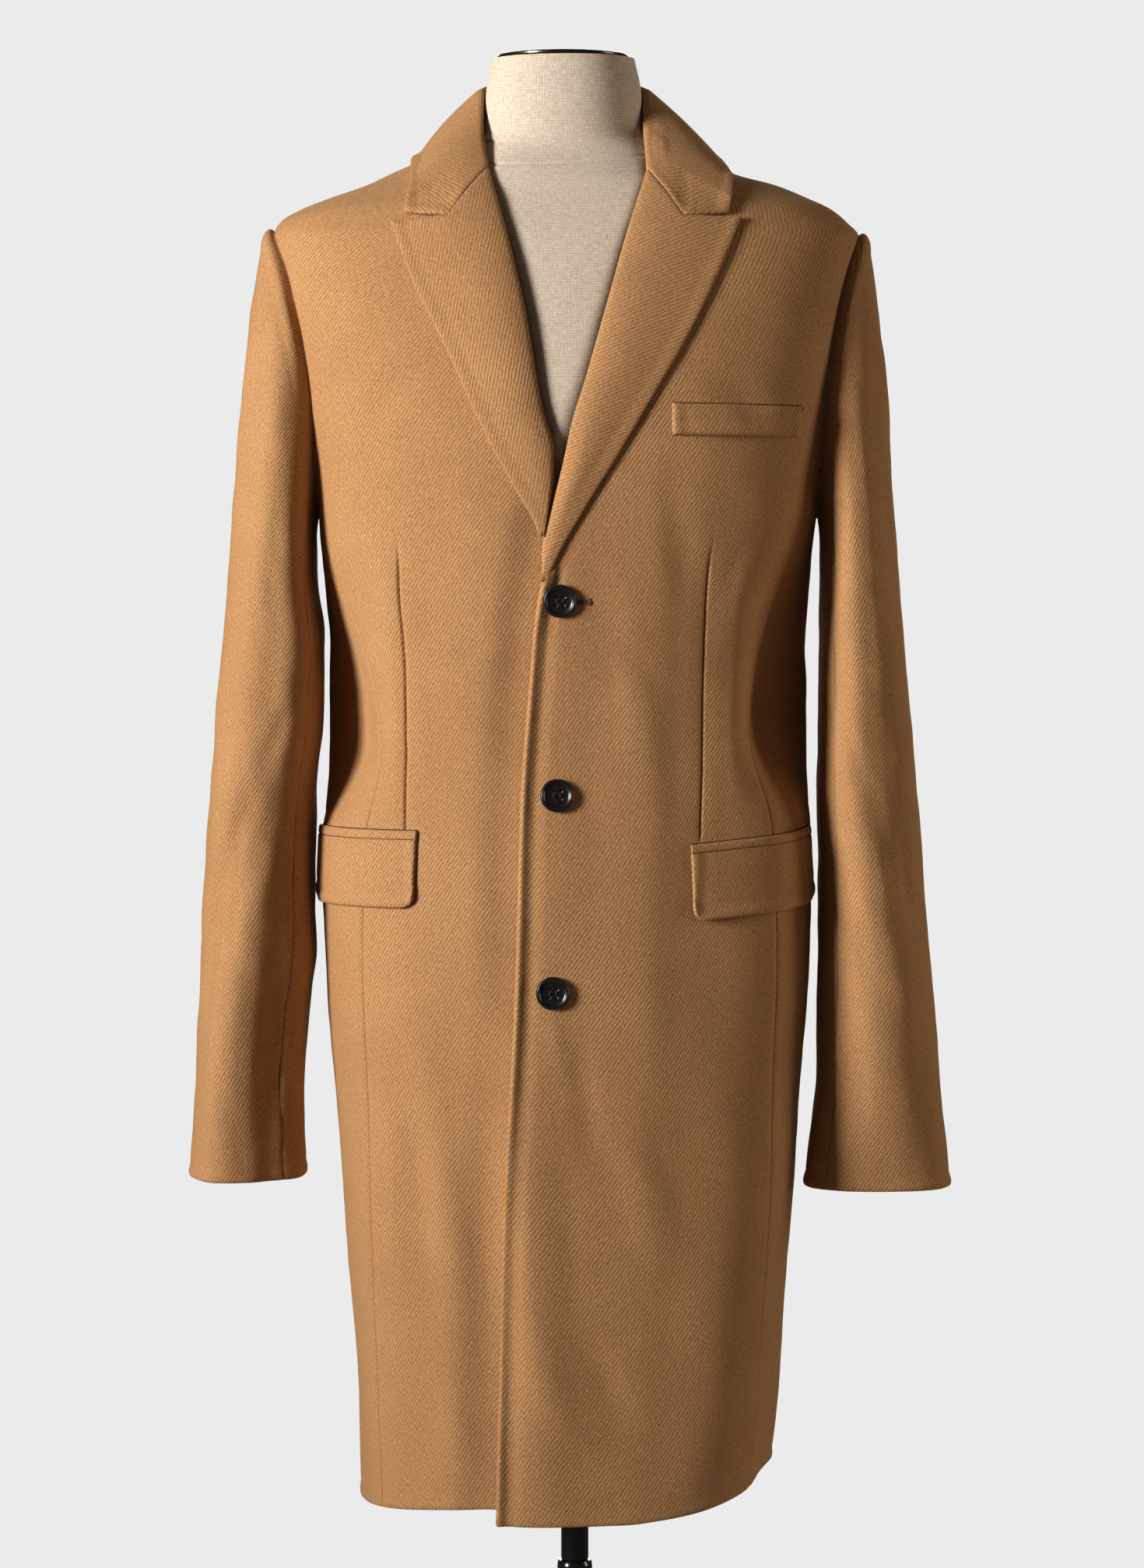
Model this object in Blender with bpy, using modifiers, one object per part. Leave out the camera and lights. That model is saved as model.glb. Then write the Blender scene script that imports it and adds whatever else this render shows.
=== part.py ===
"""Long single-breasted overcoat with peak lapels on a linen dress form and stand.

Blender 4.5, metres, +Z up. The front faces -Y and the wearer's left is at +X. The origin is on
the floor, under the middle of the base. Every panel of cloth is a patch of one body surface,
given by horizontal sections, and is a wall laid inwards from it.
"""
import math
from collections import namedtuple

import bmesh
import bpy
import mathutils
import numpy as np

# ---------------------------------------------------------------- driving sizes
WALL = 0.0024            # overcoat cloth with its interlining
LAPEL_WALL = 0.0030      # two layers of cloth, turned and pressed
TRIM_WALL = 0.0026       # flaps and welt
SEAM_GAP = 0.0003
LAY_GAP = 0.0004         # between a piece and what it lies on
OVERLAP_RAMP = 0.0260    # over which the under front steps down beneath the over front
OVERLAP_ROOM = 0.0014    # between the two fronts where they overlap
NOSE_ROOM = 0.0080       # room for the rolled edge of the over front's lapel
EDGE_LIFT = 0.0010       # the collar's edge stands this far off the coat

SPLIT_Z = 1.100          # below it, the panels' rows are level
LOWER_ROWS = 17
UPPER_ROWS = 3           # from SPLIT_Z to the armhole along a side seam
HEM_Z = 0.484
PSI_STEP = 15            # degrees around an armhole between points
SEAM_METRIC = (0.12, 1.0)      # metres along a seam for a radian of turn and a metre of height
EDGE_SAMPLES, BACK_SAMPLES, NECK_SAMPLES = 40, 30, 12
EDGE_TUCK = 0.0008       # a front's wall ends this far inside the lapel's rolled edge
TUCK_RAMP = 0.05

Section = namedtuple("Section", "z left right front back square")
BODY = [                 # the coat's outer face: half widths, depths, and the section's squareness
    Section(0.480, 0.1515, 0.1400, 0.127, 0.130, 2.3),
    Section(0.560, 0.1535, 0.1490, 0.127, 0.130, 2.3),
    Section(0.650, 0.1607, 0.1570, 0.126, 0.131, 2.3),
    Section(0.760, 0.1680, 0.1630, 0.126, 0.132, 2.4),
    Section(0.850, 0.1760, 0.1697, 0.126, 0.132, 2.4),
    Section(0.930, 0.1795, 0.1720, 0.124, 0.130, 2.4),
    Section(1.016, 0.1765, 0.1700, 0.117, 0.119, 2.4),
    Section(1.100, 0.1780, 0.1710, 0.120, 0.118, 2.4),
    Section(1.190, 0.1820, 0.1765, 0.124, 0.122, 2.5),
    Section(1.260, 0.1915, 0.1850, 0.122, 0.126, 2.5),
    Section(1.320, 0.2035, 0.1960, 0.114, 0.125, 2.5),
    Section(1.360, 0.2110, 0.2035, 0.103, 0.117, 2.4),
    Section(1.383, 0.2145, 0.2060, 0.094, 0.109, 2.3),
    Section(1.394, 0.2090, 0.1970, 0.088, 0.103, 2.2),
    Section(1.403, 0.1940, 0.1860, 0.083, 0.098, 2.2),
    Section(1.411, 0.1740, 0.1690, 0.078, 0.093, 2.1),
    Section(1.420, 0.1480, 0.1470, 0.072, 0.088, 2.1),
    Section(1.428, 0.1310, 0.1175, 0.067, 0.083, 2.0),
    Section(1.438, 0.1090, 0.0990, 0.062, 0.076, 2.0),
    Section(1.452, 0.0840, 0.0740, 0.056, 0.068, 2.0),
]

Fold = namedtuple("Fold", "turn z spread above below lean depth")
FOLDS = [                # turn and spread in degrees, reach above and below, lean in degrees a
                         # metre; depth is + outwards
    Fold(-75, 1.022, 23, 0.150, 0.064, 0, -0.023),
    Fold(73, 1.043, 24, 0.150, 0.078, 0, -0.030),
    Fold(44, 0.980, 20, 0.320, 0.360, 10, -0.005),
    Fold(20, 1.000, 15, 0.330, 0.330, 10, 0.002),
    Fold(-15, 0.850, 34, 0.560, 0.700, 16, 0.0055),
    Fold(-28, 0.700, 15, 0.260, 0.260, -40, -0.006),
    Fold(-12, 0.640, 14, 0.220, 0.220, -20, 0.004),
    Fold(48, 0.620, 20, 0.220, 0.220, 30, 0.006),
    Fold(74, 0.560, 18, 0.200, 0.200, 10, -0.006),
    Fold(-60, 0.600, 18, 0.240, 0.240, 0, 0.004),
    Fold(150, 0.680, 16, 0.330, 0.330, 10, -0.009),
    Fold(-148, 0.660, 16, 0.330, 0.330, -10, -0.009),
    Fold(172, 0.640, 13, 0.300, 0.300, 0, 0.006),
    Fold(126, 1.020, 16, 0.170, 0.170, 0, -0.008),
    Fold(-126, 1.020, 16, 0.170, 0.170, 0, -0.008),
    Fold(120, 1.270, 16, 0.130, 0.130, 0, 0.006),
    Fold(-120, 1.270, 16, 0.130, 0.130, 0, 0.006),
]

Point = namedtuple("Point", "z x")
OVER_EDGE = [            # front edge of the over front, then its roll line, as seen from the front
    Point(0.480, -0.0520), Point(0.624, -0.0490), Point(0.854, -0.0380), Point(0.990, -0.0340),
    Point(1.077, -0.0280), Point(1.123, -0.0237), Point(1.146, -0.0195), Point(1.168, -0.0156),
    Point(1.194, -0.0092), Point(1.218, -0.0032), Point(1.249, 0.0035), Point(1.272, 0.0108),
    Point(1.324, 0.0255), Point(1.377, 0.0404), Point(1.424, 0.0543),
]
UNDER_EDGE = [           # the under front's edge, hidden up to 1.21, then its roll line
    Point(0.480, 0.0140), Point(0.854, 0.0120), Point(1.077, 0.0120), Point(1.125, 0.0080),
    Point(1.180, 0.0000), Point(1.213, -0.0120), Point(1.261, -0.0243), Point(1.322, -0.0348),
    Point(1.377, -0.0475), Point(1.426, -0.0604),
]
OVER_LAPEL_ROLL = [
    Point(1.146, -0.0195), Point(1.168, -0.0156), Point(1.194, -0.0092), Point(1.218, -0.0032),
    Point(1.249, 0.0035), Point(1.272, 0.0108), Point(1.324, 0.0255), Point(1.377, 0.0404),
    Point(1.424, 0.0543),
]
OVER_LAPEL_EDGE = [
    Point(1.149, -0.0132), Point(1.158, -0.0092), Point(1.185, 0.0059), Point(1.220, 0.0275),
    Point(1.247, 0.0438), Point(1.272, 0.0584), Point(1.324, 0.0880), Point(1.392, 0.1181),
]
UNDER_LAPEL_ROLL = [
    Point(1.180, -0.0190), Point(1.194, -0.0150), Point(1.214, -0.0130), Point(1.261, -0.0243),
    Point(1.322, -0.0348), Point(1.377, -0.0475), Point(1.426, -0.0604),
]
UNDER_LAPEL_EDGE = [
    Point(1.182, -0.0262), Point(1.195, -0.0345), Point(1.241, -0.0594), Point(1.303, -0.0883),
    Point(1.349, -0.1114), Point(1.389, -0.1264),
]
OVER_GORGE = Point(1.3905, 0.0779)     # where collar and lapel part, and the collar's corner
UNDER_GORGE = Point(1.3912, -0.0866)
OVER_CORNER = Point(1.3945, 0.1089)
UNDER_CORNER = Point(1.3950, -0.1170)

Seam = namedtuple("Seam", "z front back")
SIDE_SEAMS = [           # turn of the side panel's two seams, in degrees from the front
    Seam(0.480, 61, 128), Seam(0.850, 61, 129), Seam(1.016, 60, 130), Seam(1.100, 67, 124),
]
Hem = namedtuple("Hem", "turn z")
HEM = [                  # the lowest edge round the coat, over front apart
    Hem(-180, 0.4840), Hem(-90, 0.4820), Hem(-60, 0.4870), Hem(-25, 0.4950), Hem(10, 0.4955),
]
OVER_HEM = [
    Hem(-30, 0.4845), Hem(15, 0.4850), Hem(35, 0.4890), Hem(60, 0.4990), Hem(85, 0.5050),
    Hem(130, 0.4980), Hem(180, 0.4840),
]

Arm = namedtuple("Arm", "tip_z base_z front back")
ARMHOLES = {             # heights of the armhole, and how far it is cut into front and back
    -1: Arm(1.3870, 1.184, 14.5, 13.5),
    1: Arm(1.3840, 1.184, 14.5, 13.5),
}
FRONT_PSI, BACK_PSI = 150, 240         # where the side seams meet the armhole
SLEEVE_FRONT_PSI, SLEEVE_BACK_PSI = 135, 240

Ring = namedtuple("Ring", "z outer inner front back")
SLEEVES = {
    -1: [Ring(1.130, 0.2465, 0.1828, -0.070, 0.080), Ring(1.090, 0.2500, 0.1782, -0.071, 0.079),
         Ring(1.050, 0.2535, 0.1785, -0.071, 0.078), Ring(0.983, 0.2595, 0.1840, -0.072, 0.074),
         Ring(0.938, 0.2630, 0.1845, -0.072, 0.070),
         Ring(0.871, 0.2665, 0.1840, -0.070, 0.063), Ring(0.826, 0.2685, 0.1890, -0.068, 0.057),
         Ring(0.781, 0.2700, 0.1920, -0.066, 0.051), Ring(0.740, 0.2720, 0.1920, -0.063, 0.046),
         Ring(0.712, 0.2740, 0.1905, -0.061, 0.044)],
    1: [Ring(1.130, 0.2350, 0.1790, -0.070, 0.080), Ring(1.050, 0.2425, 0.1775, -0.071, 0.078),
        Ring(0.983, 0.2480, 0.1765, -0.072, 0.073), Ring(0.938, 0.2510, 0.1775, -0.070, 0.067),
        Ring(0.871, 0.2565, 0.1770, -0.066, 0.058), Ring(0.826, 0.2602, 0.1760, -0.062, 0.050),
        Ring(0.781, 0.2642, 0.1752, -0.056, 0.043), Ring(0.740, 0.2680, 0.1700, -0.051, 0.037),
        Ring(0.704, 0.2720, 0.1655, -0.048, 0.034)],
}
CAP_ROWS, ARM_ROWS = 7, 13
SLEEVE_SQUARE = 0.87     # 1 gives an elliptical section, less a squarer one
HEAD_OUT = (0.018, 0.028)      # how a sleeve leaves the armhole, outwards: at underarm, and more on top
HEAD_FRONT = 0.035             # forwards, in front
HEAD_RISE = (-0.050, 0.115)    # upwards: at the underarm, and more on top
HEAD_REACH = 0.12
LAPEL_ROWS = 13
LAPEL_PUFF = 0.0030      # the lapel stands off the front most, beside its roll
BEND_FROM = 0.72         # share of the lapel's length where its rows start to turn to the gorge
UNDER_NOSE_Z, UNDER_NOSE_RAMP = 1.214, 0.020   # below it the under lapel lies flat
SLEEVE_FOLDS = {         # turn and spread as psi in degrees: 0 outwards, 90 to the front
    -1: [Fold(60, 0.900, 45, 0.120, 0.120, 300, -0.006), Fold(60, 1.200, 34, 0.150, 0.150, 0, -0.004),
         Fold(30, 1.080, 40, 0.200, 0.200, -60, 0.002), Fold(122, 1.120, 30, 0.200, 0.170, 0, 0.0045),
         Fold(88, 1.100, 26, 0.160, 0.150, 0, -0.002), Fold(118, 0.800, 40, 0.240, 0.300, 0, -0.009),
         Fold(62, 0.800, 26, 0.240, 0.300, 0, 0.003)],
    1: [Fold(62, 1.230, 30, 0.140, 0.140, 0, -0.004), Fold(28, 1.230, 22, 0.160, 0.160, 0, 0.003),
        Fold(60, 0.940, 40, 0.110, 0.110, 260, -0.005), Fold(85, 0.800, 40, 0.110, 0.110, 0, 0.004),
         Fold(112, 1.150, 30, 0.240, 0.300, 0, 0.0045), Fold(70, 1.080, 30, 0.180, 0.200, 0, -0.002)],
}

Station = namedtuple("Station", "turn radius z edge_turn edge_z neck_turn neck_z")
COLLAR = [               # fold round the neck, fall's edge and neck seam on the coat
    Station(62, 0.0680, 1.4600, 65, 1.4170, 66, 1.4400),
    Station(96, 0.0605, 1.4890, 97, 1.4365, 90, 1.4540),
    Station(136, 0.0640, 1.4930, 138, 1.4310, 135, 1.4560),
    Station(180, 0.0670, 1.4940, 180, 1.4260, 180, 1.4560),
]
COLLAR_STEPS = [0.0, 0.35, 0.75, 1.15, 1.55, 2.0, 2.45, 2.9, 3.3, 3.65]
FOLD_HALF = 0.0020       # half the thickness between stand and fall, just under the fold
FOLD_DROP = 0.0030
NECK_LIFT = 0.0015
FALL_BULGE = 0.0026       # the fall's middle stands out by this beside the neck, less at its ends

NECK_X, NECK_Y = -0.006, 0.004
Torso = namedtuple("Torso", "z middle half front back")
FORM = [
    Torso(0.800, 0.000, 0.128, 0.086, 0.090), Torso(0.812, 0.000, 0.137, 0.093, 0.098),
    Torso(0.900, 0.000, 0.148, 0.099, 0.104), Torso(1.030, 0.000, 0.124, 0.085, 0.086),
    Torso(1.150, 0.000, 0.146, 0.099, 0.094), Torso(1.250, -0.001, 0.163, 0.109, 0.101),
    Torso(1.320, -0.002, 0.174, 0.103, 0.100), Torso(1.360, -0.003, 0.180, 0.092, 0.092),
    Torso(1.385, -0.003, 0.182, 0.083, 0.082), Torso(1.410, -0.004, 0.180, 0.070, 0.074),
    Torso(1.430, -0.005, 0.140, 0.058, 0.067), Torso(1.446, -0.006, 0.080, 0.051, 0.061),
    Torso(1.456, -0.006, 0.062, 0.050, 0.060), Torso(1.470, -0.006, 0.0575, 0.050, 0.059),
    Torso(1.490, -0.006, 0.0555, 0.049, 0.058), Torso(1.511, -0.006, 0.0510, 0.047, 0.056),
]
FORM_ROWS, FORM_SIDES = 26, 24
FORM_SQUARE = 2.1
SEAT_DOWN = 0.0012       # the form's shoulders lie below the coat's outer face by this, upright,
SEAT_IN = 0.0046         # and by this towards the axis, where they carry it
CLEAR_IN = 0.0105        # and by this elsewhere
NECK_IN = 0.0066         # and by this in front of the neck
SEAT_TURN, SEAT_SPREAD = 90, 30
SEAT_Z, SEAT_REACH = 1.409, 0.024

BUTTON_RADIUS = 0.0115
BUTTON_HEIGHT = 0.0040
BUTTONS = [Point(1.1244, -0.0081), Point(0.9895, -0.0102), Point(0.8539, -0.0129)]
HOLE_RADIUS = 0.0010
HOLE_SPREAD = 0.0022

Patch = namedtuple("Patch", "inner outer top_inner top_outer height radius")
FLAPS = {                # turns in degrees, heights of the top edge at both ends
    -1: Patch(-45.5, -83.0, 0.9575, 0.9560, 0.0470, 0.009),
    1: Patch(37.0, 78.0, 0.9480, 0.9560, 0.0465, 0.009),
}
JET_HEIGHT = 0.0062
PATCH_METRIC = 0.145     # metres along a patch for a radian of turn
WELT = Patch(30.5, 64.5, 1.2613, 1.2600, 0.0216, 0.0)

POLE_X = 0.002
POLE_RADIUS = 0.0098
POLE_FOOT_Z = 0.433
TUBE_RADIUS = 0.0125
BASE_RADIUS = 0.165
BASE_HEIGHT = 0.012

CLOTH = ("camel_wool", (190, 138, 90), 0.92, 0.0)
LINEN = ("natural_linen", (214, 200, 178), 0.9, 0.0)
BLACK = ("black_metal", (28, 28, 30), 0.35, 0.9)
CAP = ("dark_metal", (60, 55, 52), 0.4, 0.8)
HORN = ("black_button", (22, 20, 22), 0.35, 0.0)


# ---------------------------------------------------------------- small tools
class Curve:
    """Monotone cubic through a short table, so that its sections give no ripples."""

    def __init__(self, places, values):
        self.at = np.asarray(places, float)
        self.value = np.asarray(values, float)
        self.step = np.diff(self.at)
        rise = np.diff(self.value) / self.step
        grade = np.concatenate(([rise[0]], np.zeros(len(rise) - 1), [rise[-1]]))
        for i in range(1, len(rise)):
            if rise[i - 1] * rise[i] > 0:
                grade[i] = 2 / (1 / rise[i - 1] + 1 / rise[i])
        self.grade = grade

    def __call__(self, place):
        place = np.asarray(place, float)
        i = np.clip(np.searchsorted(self.at, place) - 1, 0, len(self.step) - 1)
        t = np.clip((place - self.at[i]) / self.step[i], 0.0, 1.0)
        start, end = self.value[i], self.value[i + 1]
        out, into = self.grade[i] * self.step[i], self.grade[i + 1] * self.step[i]
        return (start * (1 + 2 * t) * (1 - t) ** 2 + out * t * (1 - t) ** 2
                + end * t * t * (3 - 2 * t) - into * t * t * (1 - t))


def column(table, name):
    return [getattr(row, name) for row in table]


def table_curve(table, key, value):
    return Curve(column(table, key), column(table, value))


def lerp(start, end, share):
    return start + (end - start) * share


def unit(vectors):
    return vectors / np.maximum(np.linalg.norm(vectors, axis=-1, keepdims=True), 1e-9)


def bump(t):
    return np.where(np.abs(t) < 1, (1 - t * t) ** 2, 0.0)


def ramp(t):
    t = np.clip(t, 0.0, 1.0)
    return t * t * (3 - 2 * t)


class Route:
    """Smooth curve through a list of x, z points, by its share of length."""

    def __init__(self, points):
        xz = np.array([(p.x, p.z) for p in points])
        run = np.concatenate(([0.0], np.cumsum(np.linalg.norm(np.diff(xz, axis=0), axis=1))))
        self.x = Curve(run / run[-1], xz[:, 0])
        self.z = Curve(run / run[-1], xz[:, 1])

    def __call__(self, share):
        return np.stack([self.x(share), self.z(share)], axis=-1)


# ---------------------------------------------------------------- the coat's body surface
LEFT = table_curve(BODY, "z", "left")
RIGHT = table_curve(BODY, "z", "right")
FRONT = table_curve(BODY, "z", "front")
BACK = table_curve(BODY, "z", "back")
SQUARE = table_curve(BODY, "z", "square")
OVER_X = table_curve(OVER_EDGE, "z", "x")
UNDER_X = table_curve(UNDER_EDGE, "z", "x")
FRONT_SEAM = table_curve(SIDE_SEAMS, "z", "front")
BACK_SEAM = table_curve(SIDE_SEAMS, "z", "back")


def fold_depth(folds, turn, z):
    total = np.zeros(np.broadcast(turn, z).shape)
    for fold in folds:
        off = (np.degrees(turn) - fold.turn - fold.lean * (z - fold.z) + 180) % 360 - 180
        reach = np.where(z > fold.z, fold.above, fold.below)
        total = total + fold.depth * bump(off / fold.spread) * bump((z - fold.z) / reach)
    return total


def body_radius(turn, z):
    """Distance from the axis to the outer face; turn is 0 at the front and + towards +X."""
    half = np.where(turn > 0, RIGHT(z), LEFT(z))
    deep = np.where(np.abs(turn) < math.pi / 2, FRONT(z), BACK(z))
    square = SQUARE(z)
    across = (np.abs(np.sin(turn)) / half) ** square
    along = (np.abs(np.cos(turn)) / deep) ** square
    return (across + along) ** (-1 / square) + fold_depth(FOLDS, turn, z)


def body_face(turn, z):
    radius = body_radius(turn, z)
    return np.stack([radius * np.sin(turn), -radius * np.cos(turn), z + 0 * radius], axis=-1)


def body_normal(turn, z):
    tiny_turn, tiny_z = 0.004, 0.0006
    across = body_face(turn + tiny_turn, z) - body_face(turn - tiny_turn, z)
    up = body_face(turn, z + tiny_z) - body_face(turn, z - tiny_z)
    return unit(np.cross(across, up))


def body_point(turn, z, out=0.0):
    out = np.asarray(out, float)[..., None]
    return body_face(turn, z) + body_normal(turn, z) * out


def front_turn(x, z):
    """Turn of the point of the front that is seen at x and z."""
    half = np.where(x > 0, RIGHT(z), LEFT(z))
    share = np.clip(np.abs(x) / half, 0.0, 0.999)
    depth = FRONT(z) * (1 - share ** SQUARE(z)) ** (1 / SQUARE(z))
    return np.arctan2(x, depth)


def front_lay(x, z, out):
    return body_point(front_turn(x, z), z, out)


def under_step(turn, z):
    """How far the under front lies below the body surface, beneath the over front."""
    x = body_radius(turn, z) * np.sin(turn)
    edge = OVER_X(z) - NOSE_ROOM
    return -(WALL + OVERLAP_ROOM) * ramp((x - edge + OVERLAP_RAMP) / OVERLAP_RAMP)


# ---------------------------------------------------------------- building walls
def grid_normals(grid, flip=1.0, closed=False):
    """Unit normals of a grid of points, rows first."""
    if closed:
        across = np.roll(grid, -1, axis=1) - np.roll(grid, 1, axis=1)
    else:
        across = np.gradient(grid, axis=1)
    up = np.gradient(grid, axis=0)
    return unit(np.cross(across, up)) * flip


def pull_in(grid, rows=(False, False), columns=(True, True)):
    """Draws a grid's edges in by half a seam's gap."""
    grid = grid.copy()
    for side, (edge, beside) in zip(columns, ((0, 1), (-1, -2))):
        if side:
            grid[:, edge] += unit(grid[:, beside] - grid[:, edge]) * SEAM_GAP / 2
    for side, (edge, beside) in zip(rows, ((0, 1), (-1, -2))):
        if side:
            grid[edge] += unit(grid[beside] - grid[edge]) * SEAM_GAP / 2
    return grid


def wall_mesh(name, outer, inner):
    """Closed wall between two grids of the same size."""
    rows, columns = outer.shape[:2]
    mesh = bmesh.new()
    faces = [[[mesh.verts.new(p) for p in row] for row in grid] for grid in (outer, inner)]
    for side in faces:
        for i in range(rows - 1):
            for j in range(columns - 1):
                mesh.faces.new((side[i][j], side[i][j + 1], side[i + 1][j + 1], side[i + 1][j]))
    out, into = faces
    for i in range(rows - 1):
        for j in (0, columns - 1):
            mesh.faces.new((out[i][j], into[i][j], into[i + 1][j], out[i + 1][j]))
    for j in range(columns - 1):
        for i in (0, rows - 1):
            mesh.faces.new((out[i][j], into[i][j], into[i][j + 1], out[i][j + 1]))
    bmesh.ops.recalc_face_normals(mesh, faces=mesh.faces)
    data = bpy.data.meshes.new(name)
    mesh.to_mesh(data)
    mesh.free()
    return data


def linear(channel):
    share = channel / 255
    return share / 12.92 if share <= 0.04045 else ((share + 0.055) / 1.055) ** 2.4


def material(finish):
    name, colour, roughness, metallic = finish
    made = bpy.data.materials.get(name)
    if made is None:
        made = bpy.data.materials.new(name)
        made.use_nodes = True
        shader = made.node_tree.nodes["Principled BSDF"]
        shader.inputs["Base Color"].default_value = (*[linear(c) for c in colour], 1.0)
        shader.inputs["Roughness"].default_value = roughness
        shader.inputs["Metallic"].default_value = metallic
        made.diffuse_color = shader.inputs["Base Color"].default_value
    return made


def add_object(name, data, finish, collection):
    made = bpy.data.objects.new(name, data)
    own = material((f"{name}_{finish[0]}", *finish[1:]))
    data.materials.append(own)
    collection.objects.link(made)
    return made


# ---------------------------------------------------------------- body panels
def armhole(side, psi):
    """Turn and height of the armhole's seam; psi is 0 at the shoulder and 90 at the front."""
    arm = ARMHOLES[side]
    psi = np.radians(psi)
    cut = np.where(np.sin(psi) > 0, arm.front, arm.back)
    turn = side * np.radians(90 - cut * np.sin(psi))
    z = lerp(arm.base_z, arm.tip_z, (1 + np.cos(psi)) / 2)
    return np.stack([turn, z], axis=-1)


def lower_heights():
    return np.linspace(HEM_Z, SPLIT_Z, LOWER_ROWS + 1)


def side_edge(side, seam, psi):
    """A side seam from the hem up to the armhole, as turn and height."""
    z = lower_heights()
    low = np.stack([side * np.radians(seam(z)), z], axis=-1)
    climb = np.linspace(0, 1, UPPER_ROWS + 1)[1:, None]
    high = lerp(low[-1], armhole(side, psi), climb)
    return np.concatenate([low, high])


def resample(points, count):
    """Evenly spaced points along a path of turns and heights."""
    metric = points * np.array(SEAM_METRIC)
    run = np.concatenate(([0.0], np.cumsum(np.linalg.norm(np.diff(metric, axis=0), axis=1))))
    at = np.linspace(0, run[-1], count)
    return np.stack([np.interp(at, run, points[:, k]) for k in (0, 1)], axis=-1)


def front_inner(side, rows):
    """Front edge, roll line and neck seam of a front."""
    edge = OVER_X if side > 0 else UNDER_X
    tuck = EDGE_TUCK * side
    top = (OVER_EDGE if side > 0 else UNDER_EDGE)[-1]
    z = lower_heights()
    low = np.stack([front_turn(edge(z), z), z], axis=-1)
    z = np.linspace(SPLIT_Z, top.z, EDGE_SAMPLES)
    roll_x = edge(z) + tuck * ramp((z - SPLIT_Z) / TUCK_RAMP)
    roll = np.stack([front_turn(roll_x, z), z], axis=-1)
    share = np.linspace(0, 1, NECK_SAMPLES)[1:, None]
    neck = lerp(roll[-1], np.array([side * math.pi / 2, BODY[-1].z]), share)
    high = resample(np.concatenate([roll, neck]), rows - LOWER_ROWS)
    return np.concatenate([low, high[1:]])


def with_hem(places, hem):
    """Moves the lower rows so that the first one follows the hem."""
    turn, z = places[..., 0], places[..., 1]
    drop = ramp((SPLIT_Z - z) / (SPLIT_Z - HEM_Z)) * (hem(np.degrees(turn)) - HEM_Z)
    return turn, z + drop


def panel(name, places, hem, collection, top_seam, extra=None):
    turn, z = with_hem(places, hem)
    step = extra(turn, z) if extra else 0 * z
    outer = body_point(turn, z, step)
    inner = body_point(turn, z, step - WALL)
    rows = (False, top_seam)
    grids = [pull_in(grid, rows) for grid in (outer, inner)]
    return add_object(name, wall_mesh(name, *grids), CLOTH, collection)


def spread(inner, outer, columns):
    share = np.linspace(0, 1, columns + 1)[None, :, None]
    return lerp(inner[:, None, :], outer[:, None, :], share)


def make_front(side, collection):
    hem = table_curve(OVER_HEM if side > 0 else HEM, "turn", "z")
    psi = np.arange(FRONT_PSI - PSI_STEP, -1, -PSI_STEP)
    outer = np.concatenate([side_edge(side, FRONT_SEAM, FRONT_PSI), armhole(side, psi)])
    inner = front_inner(side, len(outer))
    places = spread(inner, outer, 14 if side > 0 else 12)
    name = "front_left" if side > 0 else "front_right"
    extra = None if side > 0 else under_step
    panel(name, places, hem, collection, True, extra)


def make_side(side, collection):
    hem = table_curve(OVER_HEM if side > 0 else HEM, "turn", "z")
    psi = np.arange(FRONT_PSI, BACK_PSI + 1, PSI_STEP)
    front = side_edge(side, FRONT_SEAM, FRONT_PSI)[:LOWER_ROWS + 1]
    back = side_edge(side, BACK_SEAM, BACK_PSI)[:LOWER_ROWS + 1]
    low = spread(front, back, len(psi) - 1)
    climb = np.linspace(0, 1, UPPER_ROWS + 1)[1:, None, None]
    high = lerp(low[-1][None], armhole(side, psi)[None], climb)
    name = "side_left" if side > 0 else "side_right"
    panel(name, np.concatenate([low, high]), hem, collection, False)


def make_back(side, collection):
    hem = table_curve(OVER_HEM if side > 0 else HEM, "turn", "z")
    psi = np.arange(BACK_PSI + PSI_STEP, 361, PSI_STEP)
    outer = np.concatenate([side_edge(side, BACK_SEAM, BACK_PSI), armhole(side, psi)])
    z = np.concatenate([lower_heights(), np.linspace(SPLIT_Z, BODY[-1].z, BACK_SAMPLES)[1:]])
    centre = np.stack([np.full(len(z), side * math.pi), z], axis=-1)
    share = np.linspace(0, 1, NECK_SAMPLES)[1:, None]
    neck = lerp(centre[-1], np.array([side * math.pi / 2, BODY[-1].z]), share)
    low, rest = centre[:LOWER_ROWS + 1], np.concatenate([centre[LOWER_ROWS:], neck])
    inner = np.concatenate([low, resample(rest, len(outer) - LOWER_ROWS)[1:]])
    name = "back_left" if side > 0 else "back_right"
    panel(name, spread(inner, outer, 9), hem, collection, True)


# ---------------------------------------------------------------- sleeves
def sleeve_rings(side, psi, rows):
    """Rings of a sleeve below its cap, from the top down to the cuff."""
    table = SLEEVES[side][::-1]
    z = np.linspace(table[-1].z, table[0].z, rows)[:, None]
    outer, inner, front, back = (table_curve(table, "z", name)(z)
                                 for name in ("outer", "inner", "front", "back"))
    turn = np.radians(psi)[None, :]
    fold = fold_depth(SLEEVE_FOLDS[side], turn, z)
    round_x = np.sign(np.cos(turn)) * np.abs(np.cos(turn)) ** SLEEVE_SQUARE
    round_y = -np.sign(np.sin(turn)) * np.abs(np.sin(turn)) ** SLEEVE_SQUARE
    x = side * ((outer + inner) / 2 + ((outer - inner) / 2 + fold) * round_x)
    y = (front + back) / 2 + ((back - front) / 2 + fold) * round_y
    return np.stack([x, y, z + 0 * x], axis=-1)


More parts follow.
